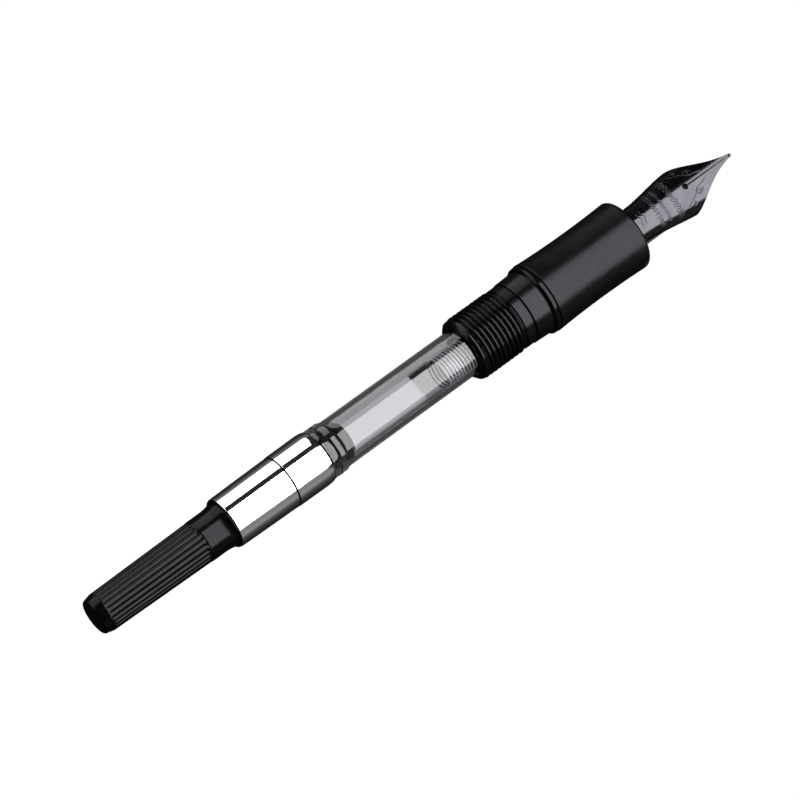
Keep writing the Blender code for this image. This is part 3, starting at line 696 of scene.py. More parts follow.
def nib_half_width(x):
    if x <= FLARE_X:
        return BASE_W
    if x <= SHOULDER_X:
        share = (x - FLARE_X) / (SHOULDER_X - FLARE_X)
        return lerp(BASE_W, SHOULDER_W, 0.32 * share * share + 0.68 * float(ease(share)))
    # halve the interval until the curve's point lies at x
    low, high = 0.0, 1.0
    for _ in range(40):
        middle = (low + high) / 2
        if bezier(TINE_CURVE, middle)[0] < x:
            low = middle
        else:
            high = middle
    return bezier(TINE_CURVE, (low + high) / 2)[1]


def nib_bend(x):
    if x < SHOULDER_X:
        return lerp(BASE_R, SHOULDER_R, float(ease((x - FLARE_X) / (SHOULDER_X - FLARE_X))))
    return lerp(SHOULDER_R, TINE_R, (x - SHOULDER_X) / (NIB_TIP - SHOULDER_X))


# ------------------------------------------------------------------ nib engraving
# Strokes are ((x, y) polyline, half width) on the nib laid flat, for y >= 0; the other half
# mirrors them.

# (x, y) points of the flourish on each tine, springing from the shoulder
FLOURISH = (
    (26.3, 2.75), (27.0, 2.25), (27.7, 1.95), (28.3, 1.45), (28.9, 1.40), (29.0, 1.75),
    (28.5, 1.90), (28.2, 1.50), (28.8, 1.00), (29.7, 0.85), (30.5, 0.55),
)


def spiral(centre_x, centre_y, radii, turn, steps):
    """A curl whose radius and angle (radians) run between the two values given for each."""
    points = []
    for i in range(steps + 1):
        radius, angle = lerp(*radii, i / steps), lerp(*turn, i / steps)
        points.append((centre_x + radius * math.cos(angle), centre_y + radius * math.sin(angle)))
    return points


def leaf(start, end, bulge):
    """The two sides of a leaf, as polylines."""
    return [
        [
            (
                lerp(start[0], end[0], i / 12),
                lerp(start[1], end[1], i / 12) + side * bulge * math.sin(math.pi * i / 12),
            )
            for i in range(13)
        ]
        for side in (1, -1)
    ]


def curve_through(points, steps=6):
    """A Catmull-Rom curve through the points."""
    fine = []
    last = len(points) - 1
    for i in range(last):
        corners = points[max(0, i - 1)], points[i], points[i + 1], points[min(last, i + 2)]
        for k in range(steps):
            t = k / steps
            fine.append(
                tuple(
                    0.5
                    * (
                        2 * start
                        + (end - before) * t
                        + (2 * before - 5 * start + 4 * end - after) * t * t
                        + (3 * start - before - 3 * end + after) * t**3
                    )
                    for before, start, end, after in zip(*corners)
                )
            )
    return fine + [points[-1]]


def ornament():
    # two short chevrons at the foot of the shank
    strokes = [([(x + 0.35, 0.0), (x, 0.75), (x + 0.12, 1.0)], 0.06) for x in (18.75, 19.35)]
    # rows across the shank: leaves with rings ahead of them, then a running scroll
    for k in range(5):
        y = 0.28 + 0.56 * k
        strokes += [(side, 0.05) for side in leaf((21.25, y), (21.95, y), bulge=0.15)]
        ring = spiral(22.85, y, radii=(0.19, 0.19), turn=(0.0, 2 * math.pi), steps=18)
        strokes.append((ring, 0.05))
    for k in range(4):
        y = 0.42 + 0.84 * k
        scroll = spiral(24.55, y, radii=(0.44, 0.12), turn=(-1.2, 6.6), steps=30)
        strokes.append((scroll, 0.06))
        strokes.append(([(24.95, y + 0.10), (25.2, y + 0.42), (24.95, y + 0.74)], 0.05))
    # each tine: the flourish, a curl at its foot and a leaf beside it
    strokes.append((curve_through(FLOURISH), 0.06))
    curl = spiral(27.35, 2.75, radii=(0.30, 0.07), turn=(2.4, -4.6), steps=28)
    strokes.append((curl, 0.055))
    strokes += [(side, 0.045) for side in leaf((28.6, 2.05), (29.6, 1.45), bulge=0.16)]
    return strokes


STROKES = ornament()


def stroke_distance(x, y, points):
    """Distance from each (x, y) to a polyline."""
    best = np.full(x.shape, 1e9)
    for (start_x, start_y), (end_x, end_y) in zip(points, points[1:]):
        run, rise = end_x - start_x, end_y - start_y
        length_squared = max(run * run + rise * rise, 1e-12)
        share = np.clip(((x - start_x) * run + (y - start_y) * rise) / length_squared, 0, 1)
        gap = np.hypot(x - start_x - share * run, y - start_y - share * rise)
        best = np.minimum(best, gap)
    return best


def engraving(x, y):
    """0 to 1: how deep the engraving is at each point."""
    depth = np.zeros(x.shape)
    for points, half in STROKES:
        gap = np.minimum(stroke_distance(x, y, points), stroke_distance(x, -y, points))
        depth = np.maximum(depth, 1 - ease((gap - half * 0.4) / (half * 1.1)))
    return depth


# ------------------------------------------------------------------ nib mesh


def nib_stations():
    """Stations of the sheet's cross-sections, closer over the engraving and the hole."""
    stations = list(np.linspace(NIB_REAR, 17.4, 10))
    stations += list(np.linspace(17.6, HOLE_X - HOLE_R, 118))
    stations += [HOLE_X - HOLE_R * math.cos(math.pi * i / 20) for i in range(1, 20)]
    stations += [HOLE_X + math.sqrt(HOLE_R**2 - (SLIT_REAR / 2) ** 2)]
    stations += list(np.linspace(HOLE_X + HOLE_R + 0.05, NIB_END, 112))
    return sorted(set(round(float(x), 5) for x in stations))


def nib_section(x, side):
    """One half's points at x, as (top, underside, rim), and the top's tones: engraving, plus
    painted shade along the slit.
    """
    bend = nib_bend(x)
    width = nib_half_width(x)
    centre = NIB_TOP - bend
    inner = math.sqrt(max(HOLE_R**2 - (x - HOLE_X) ** 2, 0.0))
    if x > HOLE_X:
        inner = max(inner, slit_width(x) / 2)
    reach_in = math.asin(inner / bend)
    reach_out = math.asin(min(0.999, (width - RIM) / bend))
    reach_rim = math.asin(min(0.9995, width / bend))
    angles = lerp(reach_in, reach_out, np.linspace(0, 1, ACROSS + 1))
    flat_y = bend * angles

    def point(radius, angle):
        return (x, side * radius * math.sin(angle), centre + radius * math.cos(angle))

    cut = np.zeros(ACROSS + 1)
    if x >= ENGRAVE_REAR:
        cut = engraving(np.full(ACROSS + 1, x), flat_y)
    tone = cut
    if x > HOLE_X + HOLE_R:
        # painted shade keeps the slit's edges dark, up to just short of the tip
        slit_shade = 1 - ease((flat_y - inner - 0.02) / 0.06)
        tone = np.maximum(cut, slit_shade * (1 - float(ease((x - NIB_TIP + 1.9) / 0.9))))
    top = [point(bend - ENGRAVE_DEPTH * cut[k], angles[k]) for k in range(ACROSS + 1)]
    under_r = bend - SHEET
    # the underside starts straight below the top's inner edge
    under = [(x, side * inner, centre + math.sqrt(under_r**2 - inner**2))]
    under += [point(under_r, angles[k]) for k in range(4, ACROSS + 1, 4)]
    rim = [
        point(bend - drop, lerp(reach_out, reach_rim, share))
        for drop, share in (
            (RIM_CORNER, 0.72), (RIM, 1.0), (SHEET - RIM, 1.0), (SHEET - RIM_CORNER, 0.72)
        )
    ]
    return (top, under, rim), tone.tolist()


def top_quads(here, ahead):
    return [
        (here[k], ahead[k], ahead[k + 1], here[k + 1]) for k in range(len(here) - 1)
    ]


def build_nib(node):
    """The sheet as two halves that meet on the centre line behind the breather hole and part
    at the slit ahead of it."""
    stations = nib_stations()
    verts, faces, marks = [], [], []
    for side in (1, -1):
        rows = []
        for x in stations:
            parts, tones = nib_section(x, side)
            row = []
            for points in parts:
                row.append(list(range(len(verts), len(verts) + len(points))))
                verts += points
            marks += tones + [0.0] * (len(verts) - len(marks) - len(tones))
            rows.append(row)
        for i in range(len(stations) - 1):
            top, under, rim = rows[i]
            next_top, next_under, next_rim = rows[i + 1]
            faces += top_quads(top, next_top)
            faces += [
                (under[k], under[k + 1], next_under[k + 1], next_under[k])
                for k in range(len(under) - 1)
            ]
            faces += top_quads(
                [top[-1]] + rim + [under[-1]], [next_top[-1]] + next_rim + [next_under[-1]]
            )
            # the wall of the hole and the slit
            if (stations[i] + stations[i + 1]) / 2 > HOLE_X - HOLE_R + 1e-6:
                faces.append((top[0], under[0], next_under[0], next_top[0]))
        for top, under, rim in (rows[0], rows[-1]):
            faces.append(tuple(top + rim + under[::-1]))
    return mesh_object(node, verts, faces, sharp=40, weld=2e-7, marks=marks)


def build_tipping(node):
    """Half of the ground tipping pellet, flattened a little underneath where it writes."""
    side = 1 if node == "tipping_left" else -1
    low, high = node_box(node)
    half_width = max(abs(low[1]), abs(high[1]))
    rear, front = ends(node)
    centre_x, radius_x = (rear + front) / 2, (front - rear) / 2
    centre_z, radius_z = (low[2] + high[2]) / 2, (high[2] - low[2]) / 2
    work = bmesh.new()
    bmesh.ops.create_uvsphere(work, u_segments=40, v_segments=24, radius=1.0)
    for vert in work.verts:
        x, y, z = vert.co
        z = max(z, -0.86)
        taper = 1.0 - 0.28 * max(0.0, x)
        vert.co = (
            (centre_x + radius_x * x + SEAT) * MILLI,
            half_width * y * taper * MILLI,
            (centre_z + radius_z * z) * MILLI,
        )
    bmesh.ops.bisect_plane(
        work,
        geom=work.verts[:] + work.edges[:] + work.faces[:],
        plane_co=(0, side * SLIT_TIP / 2 * MILLI, 0),
        plane_no=(0, -side, 0),
        clear_outer=True,
    )
    bmesh.ops.contextual_create(work, geom=[e for e in work.edges if e.is_boundary])
    bmesh.ops.recalc_face_normals(work, faces=work.faces)
    return finish_mesh(bpy.data.meshes.new(node + "_fine"), work, sharp=40)


# ------------------------------------------------------------------ feed

FIN_START, FIN_PITCH, FINS = 17.70, 1.05, 8
GROOVE_PITCH = FIN_PITCH / 2
GROOVES = FINS * 2
FEED_BEAK = 26.60  # where the underside starts to rise towards the tip
FEED_TOP_R, FEED_LOW_R, GROOVE_R = 2.64, 2.87, 2.30
FEED_TAIL_R = 0.50
FEED_COUNT = 112  # points round a ring


def feed_body_ring(x, angles):
    """A ring of the finned body, with the ink channel along its top."""
    pitches = (x - FIN_START) / GROOVE_PITCH
    groove = 0.0
    if 0 <= pitches < GROOVES - 0.5:
        phase = pitches - math.floor(pitches)
        groove = float(ease(phase / 0.12) * (1 - ease((phase - 0.48) / 0.12)))
    low = lerp(FEED_LOW_R, GROOVE_R, groove)
    ring = []
    for angle in angles:
        under = float(ease((0.30 - math.sin(angle)) / 0.12))
        radius = lerp(FEED_TOP_R, low, under)
        if abs(math.cos(angle)) * radius < 0.28 and math.sin(angle) > 0:
            radius -= 0.30
        ring.append((x, radius * math.cos(angle), radius * math.sin(angle)))
    return ring


def feed_beak_ring(x, front, angles):
    """A ring of the beak, which narrows and rises to a blunt tip."""
    share = (x - FEED_BEAK) / (front - FEED_BEAK)
    rise = 1 - (1 - min(1.0, share)) ** 1.7
    bottom = lerp(-FEED_LOW_R + 0.24, FEED_TOP_R - 0.75, rise)
    half = lerp(FEED_TOP_R, 0.45, share**0.9)
    close = 1.0
    if share >= 0.97:
        close = math.sqrt(max(0.0, 1 - ((share - 0.97) / 0.03) ** 2)) * 0.9 + 0.1
    middle, tall = (FEED_TOP_R + bottom) / 2, (FEED_TOP_R - bottom) / 2
    ring = []
    for angle in angles:
        y = half * math.cos(angle) * close
        z = middle + tall * math.sin(angle) * close
        if abs(y) < 0.24 and math.sin(angle) > 0:
            z -= 0.26 * close
        ring.append((x, y, z))
    return ring


def build_feed(node):
    rear, front = ends(node)
    angles = [2 * math.pi * k / FEED_COUNT for k in range(FEED_COUNT)]
    stations = [4.97, 5.1, 11.0, FIN_START - 0.06]
    for i in range(GROOVES):
        start = FIN_START + i * GROOVE_PITCH
        for share in (0.0, 0.05, 0.12, 0.40, 0.47, 0.52):
            stations.append(start + share * GROOVE_PITCH * 0.95)
        stations.append(start + GROOVE_PITCH * 0.98)
    stations = [round(x, 4) for x in stations] + [FEED_BEAK]
    beak = [lerp(FEED_BEAK, front, i / 36) for i in range(1, 37)]
    tail = ((rear, FEED_TAIL_R - 0.12), (rear + 0.12, FEED_TAIL_R), (4.90, FEED_TAIL_R))
    rings = [[(x, r * math.cos(a), r * math.sin(a)) for a in angles] for x, r in tail]
    rings += [feed_body_ring(x, angles) for x in stations]
    rings += [feed_beak_ring(x, front, angles) for x in beak]
    verts = [point for ring in rings for point in ring]
    faces = grid_faces(len(rings), FEED_COUNT, close_rows=False)
    faces.append(tuple(range(FEED_COUNT)))
    faces.append(tuple((len(rings) - 1) * FEED_COUNT + k for k in reversed(range(FEED_COUNT))))
    return mesh_object(node, verts, faces, sharp=35)


# ------------------------------------------------------------------ converter


def build_tube(node):
    """The clear reservoir: neck, flange with a cone ahead of it, long tube and mouth."""
    rear, front = ends(node)
    full = outer_radius(node)
    tube, bore, neck, mouth = 3.50, 2.90, 3.30, 1.50
    flange_rear, flange_front, floor = -37.90, -35.55, -7.50
    flange_edge, mouth_edge, floor_edge = 0.22, 0.35, 0.25
    profile = [(rear, bore + 0.08), (rear, neck - 0.1), (rear + 0.1, neck)]
    profile += [(flange_rear, neck), (flange_rear, neck + 0.05)]
    profile += arc(flange_rear + flange_edge, full - flange_edge, flange_edge, 180, 90, 8)
    # a fine ring groove, then the cone down to the reservoir
    profile += [
        (-36.64, full), (-36.61, full - 0.02), (-36.56, full - 0.06),
        (-36.51, full - 0.02), (-36.48, full),
        (flange_front - 0.09, full), (flange_front - 0.06, full - 0.004),
        (flange_front - 0.03, full - 0.018),
    ]
    profile += line(*profile[-1], flange_front + 0.44, tube + 0.018, 12)
    profile += [(flange_front + 0.47, tube + 0.004), (flange_front + 0.50, tube)]
    profile += line(flange_front + 0.66, tube, front - 0.36, tube, 24)
    profile += arc(front - mouth_edge, tube - mouth_edge, mouth_edge, 85, 0, 7)
    profile += [
        (front, mouth + 0.3), (front - 0.25, mouth + 0.05), (front - 0.5, mouth),
        (floor + 0.05, mouth), (floor, mouth + 0.05), (floor, bore - floor_edge),
    ]
    profile += arc(floor - floor_edge, bore - floor_edge, floor_edge, 5, 90, 6)
    profile += line(floor - floor_edge, bore, rear + 0.1, bore, 24)
    return lathe(node, profile, 256, sharp=38)


FERRULE_SPIGOT_R = 3.50  # the rear ferrule's spigot, which enters the front one
FERRULE_SOCKET_R = FERRULE_SPIGOT_R + 0.05


def build_rear_ferrule(node):
    rear, front = ends(node)
    split, bend = -43.95, -48.8
    spigot, bore, lip = FERRULE_SPIGOT_R, 3.10, 2.28
    lip_front = rear + 0.64
    profile = [(rear + 0.05, lip), (rear, lip + 0.05), (rear, 3.60)]
    profile += arc(rear + 0.12, 3.62, 0.12, 170, 95, 5)
    profile += line(rear + 0.13, 3.742, bend, 3.815, 10)
    profile += line(bend, 3.815, split - 0.20, 3.875, 10)
    profile += arc(split - 0.20, 3.855, 0.02, 85, 0, 3)
    profile += [
        (split - 0.18, spigot + 0.02), (split, spigot),
        (front - 0.1, spigot), (front, spigot - 0.1), (front, bore + 0.05),
        (front - 0.05, bore), (lip_front, bore), (lip_front, lip),
    ]
    return lathe(node, profile, 224)


def build_front_ferrule(node):
    rear, front = ends(node)
    full = outer_radius(node)
    neck = 3.36
    socket_floor = rear + 1.06
    profile = [(rear, FERRULE_SOCKET_R), (rear, full - 0.12)]
    profile += arc(rear + 0.06, full - 0.09, 0.06, 172, 92, 6)
    profile += line(rear + 0.07, full - 0.03, front - 0.90, full, 8)
    # the front end curves in
    for i in range(1, 9):
        share = i / 8
        drop = 0.10 * (0.5 * share + 0.5 * share * share)
        profile.append((lerp(front - 0.90, front - 0.03, share), full - drop))
    profile += [
        (front, full - 0.13), (front, neck + 0.03), (front - 0.03, neck),
        (socket_floor, neck), (socket_floor, FERRULE_SOCKET_R),
    ]
    return lathe(node, profile, 224)


def wire_mesh(node, centres, frames, radius, facets):
    """A round wire with domed ends; frames gives two unit vectors across it at each centre."""
    dome = (0.98, 0.75, 0.4)  # heights of the dome's rings, in wire radii

    def dome_ring(centre, frame, outward, height):
        place = centre + outward * radius * height
        return place, frame, radius * math.sqrt(1 - height * height)

    back = (centres[0] - centres[1]).normalized()
    ahead = (centres[-1] - centres[-2]).normalized()
    rings = [dome_ring(centres[0], frames[0], back, height) for height in dome]
    rings += [(centre, frame, radius) for centre, frame in zip(centres, frames)]
    rings += [dome_ring(centres[-1], frames[-1], ahead, height) for height in reversed(dome)]
    verts, faces = [], []
    for centre, (normal, across), ring_r in rings:
        for k in range(facets):
            angle = 2 * math.pi * k / facets
            offset_n = normal * (ring_r * math.cos(angle))
            verts.append(tuple(centre + offset_n + across * (ring_r * math.sin(angle))))
    last = (len(rings) - 1) * facets
    for base in range(0, last, facets):
        following = base + facets
        for k in range(facets):
            j = (k + 1) % facets
            faces.append((base + k, base + j, following + j, following + k))
    faces.append(tuple(range(facets)))
    faces.append(tuple(last + k for k in reversed(range(facets))))
    return mesh_object(node, verts, faces, sharp=60.0)


def build_spring(node):
    rear, front = ends(node)
    turns, per_turn = 10, 72
    total = turns * per_turn
    run = front - rear - 2 * WIRE_R
    centres, frames = [], []
    for i in range(total + 1):
        t = i / total
        angle = math.pi + 2 * math.pi * turns * t
        cos, sin = math.cos(angle), math.sin(angle)
        # the wound coil isn't quite even
        uneven = t + 0.006 * math.sin(2 * math.pi * t) + 0.002 * math.sin(31.0 * t)
        x = rear + WIRE_R + run * uneven
        centres.append(Vector((x, COIL_R * cos + COIL_Y, COIL_R * sin + COIL_Z)))
        advance = run / (2 * math.pi * turns)
        tangent = Vector((advance, -COIL_R * sin, COIL_R * cos)).normalized()
        normal = Vector((0.0, cos, sin))
        frames.append((normal, tangent.cross(normal).normalized()))
    return wire_mesh(node, centres, frames, WIRE_R, facets=14)


# ------------------------------------------------------------------ knob

FLUTE_REAR, FLUTE_FRONT = -74.10, -58.10
FLUTES, FLUTE_DEPTH, FLUTE_FADE = 22, 0.17, 0.42
KNOB_END_R, KNOB_CREST_R, KNOB_COLLAR_R = 2.81, 3.04, 3.09


def flute_radius(x, radius, angles):
    """Convex ribs that meet in narrow valleys, fading at both ends of the fluted run."""
    if not (FLUTE_REAR - 1e-6 <= x <= FLUTE_FRONT + 1e-6 and radius > 2.5):
        return radius
    fade = float(ease((x - FLUTE_REAR) / FLUTE_FADE) * ease((FLUTE_FRONT - x) / FLUTE_FADE))
    phase = (angles * FLUTES / (2 * math.pi)) % 1.0
    off = np.abs(phase * 2 - 1)  # 0 on a crest, 1 in a valley
    drop = np.where(off < 0.9, off**2, 0.81 + 1.8 * (off - 0.9) - 9.0 * (off - 0.9) ** 2)
    drop = drop + 0.45 * ease((off - 0.84) / 0.12)
    return radius - FLUTE_DEPTH * drop * fade


def build_knob(node):
    rear, front = ends(node)
    flare = outer_radius(node)
    collar = KNOB_COLLAR_R
    cone_deg, corner = 14.0, 0.36
    cone = math.radians(cone_deg)
    # a rounded corner, then a short cone up to the flutes
    cone_x = rear + corner * (1 - math.sin(cone))
    cone_r = KNOB_END_R - (FLUTE_REAR - 0.05 - cone_x) * math.tan(cone)
    centre_r = cone_r - corner * math.cos(cone)
    profile = [(rear, 0.0), (rear, 0.9), (rear, 1.5), (rear, centre_r)]
    profile += arc(rear + corner, centre_r, corner, 180.0, 90.0 + cone_deg, 14)[1:]
    profile += line(*profile[-1], FLUTE_REAR - 0.05, KNOB_END_R, 5)
    # the fluted run, with closer rings at its ends
    steps = [0, 0.06, 0.12, 0.2, 0.3, 0.42, 0.56]
    stations = [FLUTE_REAR + step for step in steps]
    stations += list(np.linspace(FLUTE_REAR + 1.0, FLUTE_FRONT - 1.0, 14))
    stations += [FLUTE_FRONT - step for step in reversed(steps)]
    for x in stations:
        share = (x - FLUTE_REAR) / (FLUTE_FRONT - FLUTE_REAR)
        profile.append((x, lerp(KNOB_END_R + 0.01, KNOB_CREST_R, share)))
    profile += [
        (FLUTE_FRONT + 0.04, collar - 0.04), (FLUTE_FRONT + 0.10, collar - 0.01),
        (FLUTE_FRONT + 0.30, collar - 0.002), (-56.5, collar),
    ]
    # the front end flares out along a quarter ellipse
    flare_start, flare_end = -55.85, front - 0.14
    for i in range(17):
        angle = i / 16 * math.pi / 2
        profile.append(
            (
                lerp(flare_start, flare_end, math.sin(angle)),
                collar + (flare - collar) * (1 - math.cos(angle)),
            )
        )
    # front face, then the stepped bore
    bore, deep_bore = 2.26, 1.95
    bore_step, bore_floor = -60.50, -73.80
    profile += [
        (front - 0.05, flare - 0.01), (front, flare - 0.06),
        (front, bore + 0.04), (front - 0.04, bore), (bore_step, bore),
        (bore_step, deep_bore), (bore_floor, deep_bore), (bore_floor, 0.0),
    ]
    return lathe(node, profile, FLUTES * 22, flute_radius, sharp=48)


# ------------------------------------------------------------------ piston drive

LEAD, STARTS = 3.60, 2
ROD_CREST, ROD_ROOT, ROD_FLAT = 1.70, 1.42, 1.24
DRIVE_MARK = 1.6  # a profile radius that stands for the drive thread


def drive_thread(x, angles):
    phase = STARTS * (angles - 2 * math.pi * x / LEAD)
    return ROD_ROOT + (ROD_CREST - ROD_ROOT) * (0.5 + 0.5 * np.cos(phase))


def is_drive(radius):
    return abs(radius - DRIVE_MARK) < 1e-9


def double_d(radii, angles, flat):
    """Cuts two flats, above and below the axis."""
    lift = np.abs(np.sin(angles))
    return np.where(lift * radii <= flat, radii, flat / np.maximum(lift, 1e-6))


def build_rod(node):
    """The threaded rod with two flats, and the stub that carries the seal."""
    rear = ends(node)[0]
    thread_rear, thread_front = rear + 0.3, -45.40
    seal_rear = ends("piston_seal")[0]
    profile = [(rear, 0.0), (rear, 1.05)]
    rows = int((thread_front - rear - 0.3) * 9)
    profile += level(thread_rear, thread_front, DRIVE_MARK, rows)
    profile += [
        (thread_front + 0.3, ROD_ROOT), (seal_rear - 0.10, ROD_ROOT),
        (seal_rear - 0.06, 1.30), (seal_rear - 0.06, 0.66), (seal_rear - 0.02, 0.62),
        (seal_rear + 1.00, 0.62), (seal_rear + 1.15, 0.95), (seal_rear + 1.75, 0.95),
        (seal_rear + 2.00, 0.80), (seal_rear + 2.20, 0.55), (seal_rear + 2.20, 0.0),
    ]

    def radius_at(x, radius, angles):
        if is_drive(radius):
            return double_d(drive_thread(x, angles), angles, ROD_FLAT)
        return double_d(radius, angles, ROD_FLAT) if radius > 1.2 else radius

    return lathe(node, profile, 96, radius_at, sharp=30)


def build_nut(node):
    rear, front = ends(node)
    thread_rear, step = -52.20, -52.92
    bore, sleeve, body, head = 1.88, 2.19, 2.60, 3.00
    profile = [
        (rear, bore), (rear, sleeve - 0.1), (rear + 0.1, sleeve), (step, sleeve),
        (step, body - 0.06), (-52.86, body), (front - 1.0, body),
        (front - 1.0, head - 0.05), (front - 0.95, head),
        (front - 0.05, head), (front, head - 0.05),
    ]
    rows = int((front - thread_rear) * 9)
    profile += level(front, thread_rear, DRIVE_MARK, rows)
    profile += [(thread_rear - 0.05, bore)]

    def radius_at(x, radius, angles):
        return drive_thread(x, angles) + 0.09 if is_drive(radius) else radius

    return lathe(node, profile, 96, radius_at, sharp=30)


def build_guide(node):
    """The disc whose hole has flats to match the rod's."""
    rear, front = ends(node)
    full = 3.04
    hole = 1.0  # stands for the hole's edge; a larger radius adds its chamfer
    profile = [
        (rear + 0.05, hole), (rear, hole + 0.05), (rear, full - 0.06), (rear + 0.06, full),
        (front - 0.06, full), (front, full - 0.06), (front, hole + 0.05), (front - 0.05, hole),
    ]

    def radius_at(x, radius, angles):
        if radius > 2:
            return radius
        chamfer = radius - hole
        return double_d(ROD_CREST + 0.08 + chamfer, angles, ROD_FLAT + 0.07 + chamfer)

    return lathe(node, profile, 96, radius_at, sharp=30)


def build_seal(node):
    """The piston's seal, with three raised bands and a socket in its rear."""
    rear, front = ends(node)
    lip = outer_radius(node)
    waist = lip - 0.34
    profile = [
        (rear + 2.35, 0.0), (rear + 2.35, 0.65), (rear + 1.82, 1.05), (rear + 1.08, 1.05),
        (rear + 0.95, 0.72), (rear + 0.04, 0.72), (rear, 0.76), (rear, waist - 0.42),
    ]
    profile += arc(rear + 0.06, waist - 0.34, 0.06, 180, 95, 3)
    profile += [
        (rear + 0.32, waist - 0.05),
        # rear band
        (rear + 0.44, lip - 0.06), (rear + 0.50, lip), (rear + 1.16, lip),
        (rear + 1.22, lip - 0.04),
        (rear + 1.28, waist + 0.02), (rear + 1.36, waist), (rear + 1.44, waist + 0.02),
        # middle band
        (rear + 1.50, lip - 0.04), (rear + 1.56, lip), (rear + 2.22, lip),
        (rear + 2.30, lip - 0.06),
        (rear + 2.45, waist + 0.01), (rear + 2.55, waist),
        (front - 1.40, waist), (front - 1.34, waist + 0.03),
        # front band
        (front - 1.22, lip - 0.03), (front - 1.14, lip), (front - 0.78, lip),
        (front - 0.70, lip - 0.04),
        (front - 0.45, waist), (front - 0.10, waist - 0.27),
    ]
    profile += arc(front - 0.08, waist - 0.36, 0.08, 75, 0, 4)
    profile += [(front, 0.6), (front, 0.0)]
    return lathe(node, profile, 160, sharp=45)


# ------------------------------------------------------------------ pieces

# builder, frame node it replaces, material, body it rides, material slot
PIECES = (
    (build_grip, "grip_sleeve", MAT_SATIN, "section", "satin_black"),
    (build_ring, "trim_ring", MAT_RING, "section", "ring_black"),
    (build_coupling, "threaded_coupling", MAT_COUPLING, "section", "satin_black"),
    (build_collar, "nib_collar", MAT_FEED, "section", "satin_black"),
    (build_nib, "nib", MAT_NIB, "nib_unit", "nib_steel"),
    (build_tipping, "tipping_left", MAT_TIP, "nib_unit", "tip_alloy"),
    (build_tipping, "tipping_right", MAT_TIP, "nib_unit", "tip_alloy"),
    (build_feed, "feed", MAT_FEED, "nib_unit", "feed_black"),
    (build_tube, "reservoir_tube", MAT_CLEAR, "converter", "clear_plastic"),
    (build_rear_ferrule, "ferrule_rear", MAT_CHROME, "converter", "chrome"),
    (build_front_ferrule, "ferrule_front", MAT_CHROME, "converter", "chrome"),
    (build_spring, "agitator_spring", MAT_SPRING, "agitator", "spring_steel"),
    (build_knob, "knob", MAT_KNOB, "knob_unit", "knob_black"),
    (build_rod, "piston_rod", MAT_ROD, "piston", "pale_plastic"),
    (build_nut, "spindle_nut", MAT_WHITE, "knob_unit", "pale_plastic"),
    (build_guide, "rod_guide", MAT_WHITE, "converter", "pale_plastic"),
    (build_seal, "piston_seal", MAT_SEAL, "piston", "seal_black"),
)


def build_pieces():
    for build, node, material, body, slot in PIECES:
        obj = build(node)
        obj.data.materials.append(material)
        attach(obj, body)
        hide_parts(node)


# ------------------------------------------------------------------ floor

WHITE = (1.0, 1.0, 1.0, 1.0)
BACKDROP = 1.02  # strength of the white the camera sees
FLOOR_HALF = 3.0  # metres
FLOOR_GAP = 0.00002  # metres below the pen


def floor_material():
    """White for the camera. Mirroring surfaces see painted shade, a falloff away from the pen
    that is darkest close to it, and a painted pool of light ahead of the grip; clear ones see a
    painted pattern of lit bands and a shadow line. Ramps run over world millimetres."""
    look = Material("pale_floor")
    place = look.axes(look.place)
    across, along = place["Y"], place["X"]

    def ramp(value, over, out):
        return look.spread(value, out=out, over=over, interpolation="SMOOTHSTEP")

    def window(value, rise, fall, peak=1.0):
        """Rises to the peak over one range and falls to 0 over another."""
        return look.times(
            ramp(value, over=rise, out=(0.0, peak)), ramp(value, over=fall, out=(1.0, 0.0))
        )

    def light(strength, colour=WHITE):
        node = look.add("ShaderNodeEmission")
        node.inputs["Color"].default_value = colour
        look.put(strength, node.inputs["Strength"])
        return node.outputs["Emission"]

    # painted shade in mirrors: a falloff on both sides, darkest near the pen, and a painted pool
    # of light ahead of the grip
    painted_in_mirrors = look.plus(
        ramp(across, over=(-46.0, -3.0), out=(0.27, 0.012)),
        ramp(across, over=(4.0, 50.0), out=(0.0, 0.16)),
    )
    painted_glow_patch = look.times(
        ramp(along, over=(38.5, 39.5), out=(0.0, 0.9)),
        window(across, rise=(-9.0, -7.0), fall=(4.0, 6.0)),
    )
    painted_glow_patch = look.times(painted_glow_patch, ramp(along, over=(47.0, 52.0), out=(1.0, 0.0)))
    painted_in_mirrors = look.plus(painted_in_mirrors, painted_glow_patch)

    # painted light and shadow seen through clear plastic: a lit band under the axis, a paler one
    # on its +Y side, and a painted shadow line between them; from one station on, the centre
    # band dims and the shadow line sets in
    change = (0.66, 1.06)
    band = window(across, rise=(-3.1, -1.6), fall=(2.9, 3.4))
    upper = window(across, rise=(3.0, 3.5), fall=(5.6, 6.6), peak=0.14)
    behind = look.plus(look.times(band, ramp(along, over=change, out=(0.43, 0.21))), 0.055)
    behind = look.plus(behind, upper)
    painted_shadow_line = window(across, rise=(2.0, 2.3), fall=(3.4, 3.8))
    shut = look.times(painted_shadow_line, ramp(along, over=change, out=(0.0, 0.95)))
    behind = look.times(behind, look.math("SUBTRACT", 1.0, shut))

    ray = look.add("ShaderNodeLightPath").outputs
    seen = look.pick(ray["Is Glossy Ray"], light(0.03), light(painted_in_mirrors))
    seen = look.pick(ray["Is Transmission Ray"], seen, light(behind, (0.97, 0.97, 1.0, 1.0)))
    seen = look.pick(ray["Is Camera Ray"], seen, light(BACKDROP))
    look.put(seen, look.surface)
    return look.material


def build_floor():
    z = cad_low.z - FLOOR_GAP
    corners = ((-1, -1), (1, -1), (1, 1), (-1, 1))
    mesh = bpy.data.meshes.new("floor")
    mesh.from_pydata(
        [(x * FLOOR_HALF, y * FLOOR_HALF, z) for x, y in corners], [], [(0, 1, 2, 3)]
    )
    floor = bpy.data.objects.new("floor", mesh)
    bpy.context.scene.collection.objects.link(floor)
    mesh.materials.append(floor_material())


# ------------------------------------------------------------------ lights, world, camera


